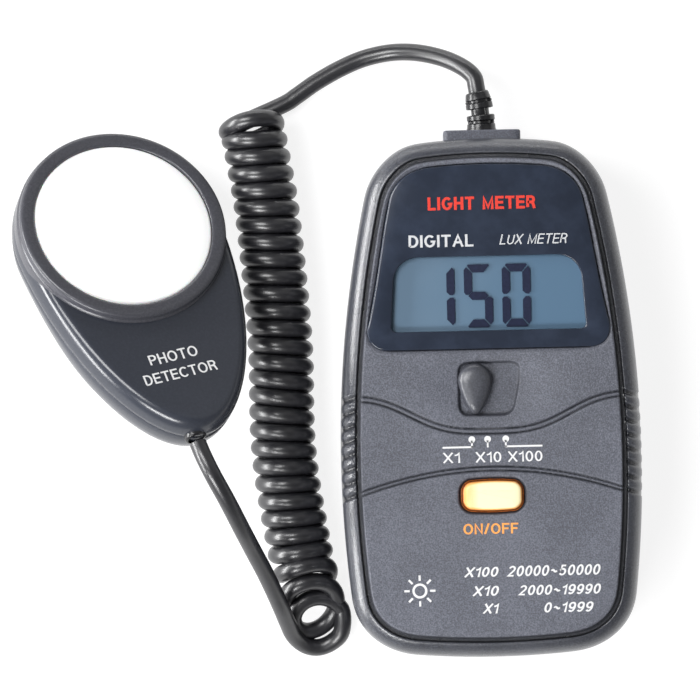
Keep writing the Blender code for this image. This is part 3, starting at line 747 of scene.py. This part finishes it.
def make_cord():
    """The lead and coil in one piece, then the lead up to the head."""
    steps = 8
    over = 2 * steps  # each lead's curve starts two knots inside the coil, and is cut there
    coil = coil_points()
    lead = smooth_route([boot_axis(6.0), *METER_LEAD, *coil[:9:4]], steps)[:-over - 1]
    route = lead + coil
    ending = smooth_route([*coil[-9::4], *HEAD_LEAD[1:]], steps)[over:]
    coiled = cord_piece("cord_coiled", cord_rings(route + ending[1:2])[:-1], None,
                        ("cord_lead_meter", "cord_coil"))
    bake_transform(coiled)
    to_head = cord_piece("cord_to_head", cord_rings(coil[-2:-1] + ending)[1:], "cord_end",
                         ("cord_lead_head",))


def make_cord_exit():
    """The clamped block at the case's top edge, and the ribbed boot on it."""
    rings = []
    for y, half_x, half_z in BLOCK_PROFILE:
        rings.append([(EXIT[0] + x, y, EXIT[2] - z) for x, z in rounded(half_x, half_z, 1.2)])
    block = Shape().skin(rings, last_cap=True)
    piece("exit_block", block, "case", "root", ("cord_block",))
    rings = []
    for distance, radius in BOOT_PROFILE:
        along = (boot_axis(distance + 0.1) - boot_axis(distance - 0.1)).normalized()
        across = Vector((along.y, -along.x, 0.0))
        webbed = 2.0 < radius < 2.6 and distance < 8.0
        ring = []
        for angle in np.linspace(0, TAU, 72, endpoint=False):
            side = abs(math.cos(angle)) if distance < 3.0 or distance > 6.0 else abs(math.sin(angle))
            reach = radius + (WEB_R - radius) * float(ease(side, 0.86, 0.93)) * webbed
            ring.append(boot_axis(distance) + across * math.cos(angle) * reach
                        - Vector((0.0, 0.0, math.sin(angle))) * reach)
        rings.append(ring)
    boot = Shape().skin(rings, first_cap=True, last_cap=True)
    piece("exit_boot", boot, "relief", "root", ("strain_relief",), sharp=40.0)


# ------------------------ case

def rib_valley(x, y):
    """0 on a rib or away from the grip, and 1 in the valleys between the ribs."""
    turn = (RIB_TOP_Y - y) / RIB_PITCH
    inside = ease(turn, -0.3, -0.15) * (1 - ease(turn, RIB_COUNT + 0.15, RIB_COUNT + 0.3))
    return (0.5 + 0.5 * np.cos(TAU * turn)) ** 2.6 * inside * (np.abs(x) > GRIP_X)


def rim_ring(outline, distance, z):
    """A ring of the case's side or rim, pressed in between the ribs, and the painted shade for each point,
    darker deep between the ribs.
    """
    ring = inset(outline, distance)
    if distance > GROOVE_FOOT:
        return level(ring, z), np.zeros(len(ring))
    valley = rib_valley(ring[:, 0], ring[:, 1] - RIB_SLANT * distance)
    side = float(ease(z, 15.0, 20.0))
    ring = inset(outline, distance + RIB_DEPTH * valley * side * float(1 - ease(distance, 1.5, 3.3)))
    swell = 0.25 * (1 - valley) * grip_zone(ring[:, 0], ring[:, 1])
    return level(ring, z + (swell - 0.75 * valley) * float(ease(z, 24.0, 28.0))), 0.75 * valley * side


def grip_zone(x, y):
    """1 along the ribbed stretch of the rim."""
    low = RIB_TOP_Y - RIB_PITCH * RIB_COUNT
    inside = ease(y, low - 0.3, low + 0.3) * (1 - ease(y, RIB_TOP_Y - 0.3, RIB_TOP_Y + 0.3))
    return inside * (np.abs(x) > GRIP_X)


def upper_arch(x):
    """Height along Y of the upper arched groove."""
    return 0.5 - 8.3 * np.exp(-(np.abs(x) / 20.5) ** 3.3)


def lower_arch(x):
    return -16.45 - 0.0058 * x ** 2


def off_arch(x, y, arch):
    """Distance from an arched groove's middle line."""
    slope = (arch(x + 0.1) - arch(x - 0.1)) / 0.2
    return np.abs(y - arch(x)) / np.sqrt(1 + slope ** 2)


def recess_outline():
    """The range switch's recess: a rounded box whose right side leans in at its foot."""
    corners = RECESS_CORNERS
    points = []
    for k, corner in enumerate(corners):
        before, after = corners[k - 1], corners[(k + 1) % len(corners)]
        ends = []
        for other in (before, after):
            gap = math.dist(corner, other)
            share = min(2.4 / gap, 0.45)
            ends.append(tuple(c + (o - c) * share for c, o in zip(corner, other)))
        points += [ends[0]] + corner_curve(ends[0], corner, ends[1], 0.6, 8)
    return even(points, 160)


def make_front():
    fine = case_outline(1100)
    coarse = case_outline(220)
    label = label_outline(160)
    recess = recess_outline()
    seat = rounded(BUTTON_HALF[0] + 0.65, BUTTON_HALF[1] + 0.55, 2.7, (0.0, BUTTON_Y), BUTTON_BOW)

    profile = [(0.25, PARTING_Z + 0.1, 0.0), (0.0, PARTING_Z + 0.35, 0.0), (0.0, 17.0, 0.0), (0.0, 19.5, 0.0)]
    # the third number is painted shade, darkest in the groove between the bead and the face
    profile += [(d, z, float(ease(d, 3.2, GROOVE_FOOT))) for d, z in RIM_EDGE]
    profile += [(GROOVE_FOOT + 0.12, GROOVE_Z, 0.9), (GROOVE_FOOT + 0.35, GROOVE_Z, 0.3),
                (GROOVE_END + 1.4, GROOVE_Z, 0.3)]
    rings = []
    shadows = []
    for distance, z, dark in profile:
        ring, valley = rim_ring(fine, distance, z)
        rings.append(ring)
        shadows.append(np.maximum(valley, dark))
    rim = Shape().skin(rings).paint_shade(np.concatenate(shadows))
    piece("case_rim", rim, "rim", "root", ("front_case",))

    def surface(x, y):
        edge, in_recess, in_seat, in_label = (inside_by(line, x, y) for line in (coarse, recess, seat, label))
        far = np.hypot((x - 0.1) / 21.0, (y - 3.0) / 11.5)  # from the middle of the dip round the knob
        z = FACE_Z - 1.1 * (0.5 + 0.5 * np.cos(math.pi * np.minimum(far, 1.0))) * ease(y, -8.6, -4.5)
        # painted shade in the groove round the face
        dark = 0.7 * (1.0 - ease(edge, GROOVE_END + 0.05, GROOVE_END + 0.4))
        # the arched grooves, with painted shade along their edges
        for arch, half in ((upper_arch, UPPER_ARCH_HALF), (lower_arch, LOWER_ARCH_HALF)):
            away = off_arch(x, y, arch)
            z -= 0.22 * (1 - ease(away, half - 0.1, half + 0.25)) + 0.5 * np.exp(-((away - half) / 0.2) ** 2)
            dark = np.maximum(dark, 0.85 * np.exp(-((away - half) / 0.24) ** 2))
        # the seats of the knob, the button and the label, and the groove round the face
        z = z + (RECESS_Z - z) * ease(in_recess, -0.2, 0.35)
        z = z + (BUTTON_SEAT_Z - z) * ease(in_seat, -0.35, 0.3)
        z = z - 0.25 * ease(in_label, -1.1, -0.35)
        z = z + (LABEL_SEAT_Z - z) * ease(in_label, -0.33, 0.12)
        z = z + (GROOVE_Z - 0.35 - z) * (1 - ease(edge, GROOVE_END - 0.25, GROOVE_END + 0.3))
        # the shadows along the seats' edges
        for into, depth in ((in_recess, 0.55), (in_seat, 0.75), (in_label, 0.8)):
            dark = np.maximum(dark, depth * np.exp(-((into - 0.1) / 0.3) ** 2))
        # painted shade over the floor of the button's seat
        dark = np.maximum(dark, 0.9 * ease(in_seat, 0.1, 0.5))
        return z, (edge > GROOVE_END - 0.6) & (in_label < 1.2), dark

    face = Shape().carpet((-31.5, -57.5), (31.5, 57.5), 0.23, surface)
    piece("case_face", face, "case", "root", (), sharp=80.0)


def make_back():
    fine = case_outline(900)
    coarse = case_outline(220)
    insets, heights = zip(*BACK_EDGE)
    seat_x, seat_y = COVER_HALF + 0.3, COVER_TOP_Y + 0.3

    profile = [(0.25, PARTING_Z - 0.1), (0.0, PARTING_Z - 0.35), (0.0, 12.0)]
    profile += [(np.interp(-z, np.negative(heights), insets), z) for z in np.linspace(heights[0], 0.0, 15)]
    rings = stack(fine, profile)
    for ring in rings:
        hollow = (np.abs(ring[:, 0]) < seat_x) & (ring[:, 1] < -50)
        ring[hollow, 2] = np.maximum(ring[hollow, 2], SEAT_Z)
    inner = rings[-1].copy()
    inner[:, :2] = inset(fine, 4.2)

    def surface(x, y):
        edge = inside_by(coarse, x, y)
        z = SEAT_Z * ease(np.minimum(seat_x - np.abs(x), seat_y - y), -0.2, 0.2)
        kept = (edge > 3.5) & ~((np.abs(x) < BAY_HALF[0]) & (np.abs(y - BAY_Y) < BAY_HALF[1]))
        for spot in SCREW_PLACES:
            away = np.hypot(x - spot[0], y - spot[1])
            z = z + 2.0 * (1 - ease(away, 2.8, 3.1))
            kept &= away > 1.6
        return z + 0.2 * (1 - ease(edge, 3.5, 4.0)), kept, 0.0

    shape = Shape().skin([inner] + rings[::-1])
    shape.carpet((-31.5, -57.0), (31.5, 57.0), 0.4, surface, face_up=False)
    wall = rounded(BAY_HALF[0] + 0.3, BAY_HALF[1] + 0.3, 1.0, (0.0, BAY_Y))
    shape.skin([level(wall, z) for z in (BAY_TOP_Z, SEAT_Z - 0.02)])
    piece("case_back", shape, "rim", "root", ("rear_case",), sharp=60.0)

    def cover_surface(x, y):
        edge = inside_by(coarse, x, y)
        border = np.minimum(COVER_HALF - np.abs(x), COVER_TOP_Y - y)
        z = np.minimum(np.interp(edge, insets, heights), SEAT_Z - 0.05) + 1.6 * (1 - ease(border, 0.0, 0.4))
        grip = (0.5 + 0.5 * np.cos(TAU * (y + 45.1) / 2.2)) * (1 - ease(np.abs(x), 6.7, 7.2))
        z = z + 0.5 * grip * ease(y, -50.6, -50.2) * (1 - ease(y, -40.2, -39.8))
        return z, (edge > 1.1) & (border > -0.01), 0.0

    def cover_inside(x, y):
        return np.full(x.shape, SEAT_Z - 0.03), cover_surface(x, y)[1], 0.0

    low, high = (-COVER_HALF, -59.0), (COVER_HALF, COVER_TOP_Y)
    cover = Shape().carpet(low, high, 0.35, cover_surface, face_up=False)
    cover.carpet(low, high, 0.35, cover_inside)
    piece("battery_lid", cover, "rim", "battery_door", ("battery_cover",), sharp=60.0)


# ------------------------ display

def digit_segment(which):
    """One of the seven bars of a digit, about the digit's middle."""
    half_x, half_y = DIGIT_SIZE[0] / 2, DIGIT_SIZE[1] / 2
    wide = DIGIT_STROKE
    inner = half_x - wide
    across = [(1.0 - half_x, half_y), (half_x - 1.0, half_y), (half_x - 0.75, half_y - 0.3),
              (inner - 0.15, half_y - wide), (0.15 - inner, half_y - wide), (0.75 - half_x, half_y - 0.3)]
    upright = [(half_x, half_y - 1.25), (half_x - 0.55, half_y - 0.62), (inner, half_y - wide - 0.15),
               (inner, 1.0), (inner + 0.75, 0.3), (half_x - 0.35, 0.3), (half_x, 0.8)]
    middle = [(0.95 - half_x, 0.0), (-inner, wide / 2), (inner, wide / 2), (half_x - 0.95, 0.0),
              (inner, -wide / 2), (-inner, -wide / 2)]
    bar, side_x, side_y = {
        "a": (across, 1, 1), "d": (across, 1, -1), "g": (middle, 1, 1), "b": (upright, 1, 1),
        "c": (upright, 1, -1), "f": (upright, -1, 1), "e": (upright, -1, -1),
    }[which]
    outline = [(side_x * x, side_y * y) for x, y in bar]
    area = sum(x0 * y1 - x1 * y0 for (x0, y0), (x1, y1) in zip(outline, outline[1:] + outline[:1]))
    return outline if area > 0 else outline[::-1]


def make_display():
    middle = (0.0, DISPLAY_Y)
    outer = by_angle(label_outline(900), middle, 900)
    hole = by_angle(window_outline(900), middle, 900)
    rings = stack(outer, ((0.0, 27.6), (0.0, 28.6), (0.06, 28.82), (0.2, 28.95), (0.4, LABEL_TOP_Z)))
    rings += stack(hole, ((-0.25, LABEL_TOP_Z), (-0.08, 28.95), (0.0, 28.8), (0.0, 28.0),
                          (0.1, PANEL_Z - 0.1)))
    piece("display_window", Shape().skin(rings), "label", "root", ("display_label",))
    panel = Shape().area(inset(hole, -0.4), PANEL_Z)
    piece("display_panel", panel, "lcd", "root", ("lcd_panel",))

    digits = Shape()
    for cell, segments in ((-1, "bc"), (0, "afgcd"), (1, "abcdef")):
        for segment in segments:
            outline = [(x - 2.2 + cell * DIGIT_PITCH, y + DISPLAY_Y - 0.5) for x, y in digit_segment(segment)]
            rings = [level(outline, z) for z in (PANEL_Z + 0.25, PANEL_Z + 0.3)]
            digits.skin(rings, first_cap=True, last_cap=True)
    piece("display_digits", digits, "digit", "root", sharp=20.0)


# ------------------------ print

# Each letter's width and strokes, for a height of 1
BOWL = [(0, 0), (0, 1), (0.26, 1)] + arc(0.26, 0.74, 0.26, 0.26, 90, -90) + [(0, 0.48)]
LETTERS = {
    " ": (0.2, ()),
    "0": (0.48, (arc(0.24, 0.5, 0.24, 0.5, 0, 360, 28),)),
    "1": (0.26, ([(0, 0.77), (0.14, 0.82), (0.26, 1), (0.26, 0)],)),
    "2": (0.5, (arc(0.25, 0.73, 0.24, 0.27, 165, -38) + [(0, 0), (0.5, 0)],)),
    "5": (0.5, ([(0.46, 1), (0.1, 1), (0.04, 0.5)] + arc(0.23, 0.32, 0.26, 0.32, 140, -150),)),
    "9": (0.48, (arc(0.24, 0.69, 0.24, 0.31, 0, 360, 28), arc(0.2, 0.56, 0.28, 0.56, 14, -130))),
    "~": (0.52, ([(x, 0.45 + 0.11 * math.sin(TAU * x / 0.52)) for x in np.linspace(0, 0.52, 14)],)),
    "/": (0.3, ([(0, 0), (0.3, 1)],)),
    "A": (0.66, ([(0, 0), (0.33, 1), (0.66, 0)], [(0.12, 0.33), (0.54, 0.33)])),
    "C": (0.62, (arc(0.34, 0.5, 0.34, 0.5, 42, 318, 24),)),
    "D": (0.58, ([(0, 0), (0, 1), (0.22, 1)] + arc(0.22, 0.5, 0.36, 0.5, 90, -90) + [(0, 0)],)),
    "E": (0.5, ([(0.5, 1), (0, 1), (0, 0), (0.52, 0)], [(0, 0.52), (0.46, 0.52)])),
    "F": (0.5, ([(0.5, 1), (0, 1), (0, 0)], [(0, 0.5), (0.42, 0.5)])),
    "G": (0.68, (arc(0.34, 0.5, 0.34, 0.5, 45, 330, 24) + [(0.68, 0.46), (0.4, 0.46)],)),
    "H": (0.58, ([(0, 0), (0, 1)], [(0.58, 0), (0.58, 1)], [(0, 0.52), (0.58, 0.52)])),
    "I": (0, ([(0, 0), (0, 1)],)),
    "L": (0.46, ([(0, 1), (0, 0), (0.46, 0)],)),
    "M": (0.72, ([(0, 0), (0, 1), (0.36, 0.05), (0.72, 1), (0.72, 0)],)),
    "N": (0.58, ([(0, 0), (0, 1), (0.58, 0), (0.58, 1)],)),
    "O": (0.7, (arc(0.35, 0.5, 0.35, 0.5, 0, 360, 32),)),
    "P": (0.52, (BOWL,)),
    "R": (0.56, (BOWL, [(0.28, 0.48), (0.44, 0.4), (0.54, 0)])),
    "T": (0.56, ([(0, 1), (0.56, 1)], [(0.28, 1), (0.28, 0)])),
    "U": (0.56, ([(0, 1), (0, 0.3)] + arc(0.28, 0.3, 0.28, 0.3, 180, 360) + [(0.56, 1)],)),
    "X": (0.6, ([(0, 0), (0.6, 1)], [(0, 1), (0.6, 0)])),
}


def stroke_sides(points, width):
    """The two edges of a pen stroke along a line of points."""
    line = np.array([p for p, q in zip(points, points[1:]) if math.dist(p, q) > 0.001] + [points[-1]], float)
    step = np.diff(line, axis=0)
    step /= np.linalg.norm(step, axis=1)[:, None]
    before = np.vstack([step[:1], step])
    after = np.vstack([step, step[-1:]])
    along = before + after
    along /= np.maximum(np.linalg.norm(along, axis=1), 0.2)[:, None]
    side = np.stack([-along[:, 1], along[:, 0]], axis=1)
    reach = width / 2 / np.maximum((along * after).sum(1), 0.55)
    ends = np.zeros((len(line), 1))
    ends[0], ends[-1] = -width / 2 * (len(line) < 8), width / 2 * (len(line) < 8)
    line = line + along * ends * 0.98
    return line + side * reach[:, None], line - side * reach[:, None]


def words(shape, text, middle, size, z, slant=0.0, pen=0.15, right=False):
    """Adds a line of lettering to a shape, fitted to a width and a height."""
    pen_at = 0.0
    ribbons = []
    for letter in text:
        width, strokes = LETTERS[letter]
        for stroke in strokes:
            ribbons.append([side + (pen_at, 0.0) for side in stroke_sides(stroke, pen)])
        pen_at += width + pen + 0.13
    everything = np.vstack([side for ribbon in ribbons for side in ribbon])
    everything[:, 0] += slant * everything[:, 1]
    low, high = everything.min(0), everything.max(0)
    for order, ribbon in enumerate(ribbons):
        rings = []
        for side in ribbon:
            side = side + np.stack([slant * side[:, 1], 0 * side[:, 1]], axis=1)
            place = (side - (low + high) / 2) / (high - low) * np.array(size) + np.array(middle)
            rings.append(level(place - np.array((size[0] / 2 if right else 0.0, 0.0)), z + 0.004 * order))
        shape.skin([rings[1], rings[0]], closed=False)
    return shape


def ruled(shape, start, end, width, z):
    """A straight printed line."""
    along = np.array(end, float) - np.array(start, float)
    side = np.array((-along[1], along[0])) / np.linalg.norm(along) * width / 2
    return shape.area([start - side, end - side, end + side, start + side], z)


def make_print():
    z = FACE_Z + 0.03
    white = Shape()
    for x, text, width in ((-9.3, "X1", 4.0), (-0.75, "X10", 6.0), (7.75, "X100", 8.0)):
        words(white, text, (x, -13.75), (width, 2.6), z)
    for x, end in ((-4.5, -11.1), (-0.85, None), (3.35, 11.6)):
        white.area(circle(0.78, 32, (x, -9.65)), z)
        ruled(white, (x, -9.9), (x, -11.55), 0.42, z)
        if end:
            low, high = sorted((x, end))
            ruled(white, (low - 0.2, -11.4), (high + 0.2, -11.4), 0.42, z)
    for y, name, name_width, reach, width, right in (
            (-40.3, "X100", 8.0, "20000~50000", 21.8, 24.6), (-44.7, "X10", 6.2, "2000~19990", 19.3, 24.6),
            (-48.8, "X1", 3.9, "0~1999", 11.4, 22.8)):
        words(white, name, (1.0, y), (name_width, 2.5), z, 0.2, 0.19, True)
        words(white, reach, (right, y), (width, 2.5), z, 0.2, 0.19, True)
    sun = (-17.3, -44.4)
    white.skin([level(circle(radius, 48, sun), z) for radius in (1.75, 1.2)])
    for k in range(8):
        ray = np.array((math.cos(TAU * k / 8), math.sin(TAU * k / 8)))
        ruled(white, ray * 2.35 + sun, ray * 3.6 + sun, 0.5, z)
    piece("print_face_white", white, "white", "root")
    orange = words(Shape(), "ON/OFF", (-0.55, -30.35), (12.7, 2.75), z, 0.0, 0.19)
    piece("print_face_orange", orange, "orange", "root")

    z = LABEL_TOP_Z + 0.02
    red = words(Shape(), "LIGHT METER", (-1.0, 45.1), (25.0, 3.4), z, 0.0, 0.25)
    piece("print_label_red", red, "red", "root")
    white = words(Shape(), "DIGITAL", (-10.6, 36.5), (15.0, 3.1), z, 0.0, 0.2)
    words(white, "LUX METER", (10.8, 36.5), (15.8, 2.5), z, 0.22, 0.14)
    piece("print_label_white", white, "grey", "root")


# ------------------------ controls

def knob_outline():
    """A teardrop: round at its top, tapering to a small round tip at its bottom."""
    middle, half = KNOB_ROUND
    points = []
    for angle in np.linspace(0, TAU, 120, endpoint=False):
        wide = math.cos(angle)
        fall = max(-math.sin(angle), 0.0)
        if fall:
            wide = math.copysign(abs(wide) ** 0.72, wide) * (1.0 - 0.42 * fall ** 1.2)
        points.append((KNOB_HALF * wide, middle - KNOB_TAIL * fall + half * max(math.sin(angle), 0.0)))
    return even(points, 160, soften=2)


def make_controls():
    outline = knob_outline()
    rings = [level(outline * (share, 0.25 + 0.75 * share) + KNOB_PLACE, z) for share, z, _ in KNOB_RINGS]
    knob = Shape().skin(rings, last_cap=True)
    # painted shade round the knob's foot
    knob.paint_shade(np.repeat([dark for _, _, dark in KNOB_RINGS], len(outline)))
    piece("range_slider", knob, "knob", "range_switch", ("range_knob",), sharp=70.0)
    x, y = KNOB_PLACE
    mark = [[(x - 0.16, y - down, z), (x + 0.16, y - down, z)] for down, z in ((4.2, 29.7), (2.2, 30.3))]
    piece("range_pointer", Shape().skin(mark, closed=False), "rim", "range_switch")

    cap = rounded(*BUTTON_HALF, 2.1, (0.0, BUTTON_Y), BUTTON_BOW)
    # the collar round the button is painted shade: a darker copy of its amber
    collar = stack(cap, ((-0.36, 28.25), (-0.3, 28.5), (-0.18, 28.6), (-0.08, 28.5), (-0.05, 28.0)))
    piece("power_collar", Shape().skin(collar), "shaded_amber_edge", "root")
    rings = stack(cap, ((0.0, -3.0), (0.0, -1.1), (0.06, -0.75), (0.2, -0.42), (0.45, -0.18), (0.85, -0.04),
                        (1.3, 0.02), (2.2, 0.06)), BUTTON_TOP_Z)
    button = Shape().skin(rings, last_cap=True)
    piece("power_key", button, "amber", "power_switch", ("power_button",), sharp=80.0)


# ------------------------ sensor head

def head_place():
    turns = ((HEAD_TURN, "Z"), (-HEAD_RISE, "X"), (HEAD_ROLL, "Y"))
    place = Matrix.Translation(Vector(HEAD_PLACE))
    for angle, axis in turns:
        place = place @ Matrix.Rotation(angle, 4, axis)
    return place


def head_outline(count):
    """Half a circle round the disc, then an egg-shaped taper to the lead's end, which leans to the right."""
    points = arc(0, 0, HEAD_R, HEAD_R, 0, 180, 81)[:-1]
    for a in np.linspace(math.pi, TAU, 160, endpoint=False):
        wide = math.copysign(abs(math.cos(a)) ** 1.03, math.cos(a))
        points.append((HEAD_R * wide, -HEAD_TIP * abs(math.sin(a)) ** 1.08))
    points = [(x + HEAD_LEAN * max(-y, 0.0), y) for x, y in points]
    return even(points, count, soften=4)


def make_head():
    place = head_place()
    count = 520
    outline = head_outline(count)
    edge = by_angle(outline, (0.0, 0.0), count)
    plate = by_angle(inset(outline, 2.85), (0.0, 0.0), count)

    def head_piece(name, shape, look, stands_for=(), sharp=50.0):
        piece(name, shape, look, "sensor_head", stands_for, place, sharp)

    rings = stack(edge, ((0.05, 0.0), (0.0, 0.06), (0.0, 1.0), (0.08, 2.0), (0.27, 3.0), (0.58, 3.85),
                         (0.98, 4.53), (1.45, 5.02), (1.95, 5.32), (2.4, 5.46)))
    rings += [level(plate, PLATE_Z), level(circle(23.6, count), PLATE_Z)]
    head_piece("head_front", Shape().skin(rings), "head", ("sensor_front_shell",))

    rounder = 0.4 + 0.8 * ease(edge[:, 1], -32.0, -4.0) + 0.6 * ease(edge[:, 1], 4.0, 18.0)
    rings = []
    for d, z in ((5.8, HEAD_BACK_Z), (4.6, HEAD_BACK_Z), (3.5, -8.85), (2.4, -8.4), (1.5, -7.7), (0.9, -6.8),
                 (0.4, -5.4), (0.1, -4.0), (0.0, -2.5), (0.0, -0.06), (0.05, 0.0)):
        share = min(1.0, -z / 6.0) if z > HEAD_BACK_Z else 0.0
        rings.append(level(inset(edge, d + rounder * share), z))

    def surface(x, y):
        inside = inside_by(outline[::4], x, y)
        z = HEAD_BACK_Z + 0.15 * (1 - ease(inside, 5.6, 6.0))
        for spot in HEAD_SCREWS:
            z = z + 2.4 * (1 - ease(np.hypot(x - spot[0], y - spot[1]), 2.35, 2.6))
        return z, inside > 5.4, 0.0

    rear = Shape().skin(rings).carpet((-23.0, -52.0), (23.0, 23.0), 0.5, surface, face_up=False)
    head_piece("head_rear", rear, "head", ("sensor_rear_shell",))

    ring = revolve((
        (24.72, 2.6), (24.78, 5.6), (24.7, 5.95), (24.5, 6.12), (24.42, 6.3), (24.42, 7.1), (24.33, 7.5),
        (24.1, 7.82), (23.7, 8.0), (23.3, 8.05), (21.6, 8.02), (21.2, 7.9), (21.0, 7.6), (20.95, 7.0),
        (20.95, 5.5),
    ))
    head_piece("head_ring", Shape().skin(ring), "ring", ("disc_ring",))
    disc = revolve((
        (20.85, 5.5), (20.85, 7.3), (20.7, 7.55), (20.3, 7.68), (18.0, 7.85), (14.0, 8.05), (9.0, 8.2),
        (4.0, 8.27), (1.0, 8.28),
    ))
    disc = Shape().skin(disc, last_cap=True)
    head_piece("head_diffuser", disc, "opal", ("diffuser_disc",), 80.0)

    rings = []
    for radius, y in ((2.05, -47.0), (2.5, -51.6), (2.6, -53.2), (2.55, -53.55), (2.35, -53.75),
                      (2.05, -53.8)):
        rings.append([(x, y, z) for x, z in circle(radius, 48)])
    head_piece("head_grommet", Shape().skin(rings), "relief", ("sensor_grommet",))

    text = words(Shape(), "PHOTO", (0.2, -34.4), (12.0, 2.75), PLATE_Z + 0.03, 0.0, 0.17)
    words(text, "DETECTOR", (0.3, -39.1), (18.0, 2.75), PLATE_Z + 0.03, 0.0, 0.17)
    head_piece("print_head_white", text, "white")


# ------------------------ pieces inside

def dress_inside():
    """Materials for the CAD nodes that stay."""
    kinds = {
        "circuit": ("main_board", "sensor_board"),
        "black": ("converter_chip", "smoothing_capacitor", "contact_strip_lower", "contact_strip_upper",
                  "battery_snap", "push_switch_plunger", "filter_holder", "battery_wire_black"),
        "ivory": ("lcd_frame", "head_connector", "switch_actuator"),
        "red_plastic": ("trimmer", "battery_wire_red"),
        "battery": ("battery",),
        "cord": ("inner_cable", "sensor_cable"),
        "filter": ("colour_filter",),
    }
    chosen = {node: kind for kind, members in kinds.items() for node in members}
    for node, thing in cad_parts.items():
        if not thing.hide_render:
            thing.data.materials.clear()
            thing.data.materials.append(LOOKS[chosen.get(node, "steel")])


def build():
    make_camera()
    make_cord()
    make_studio()
    make_cord_exit()
    make_front()
    make_back()
    make_display()
    make_print()
    make_controls()
    make_head()
    dress_inside()


build()
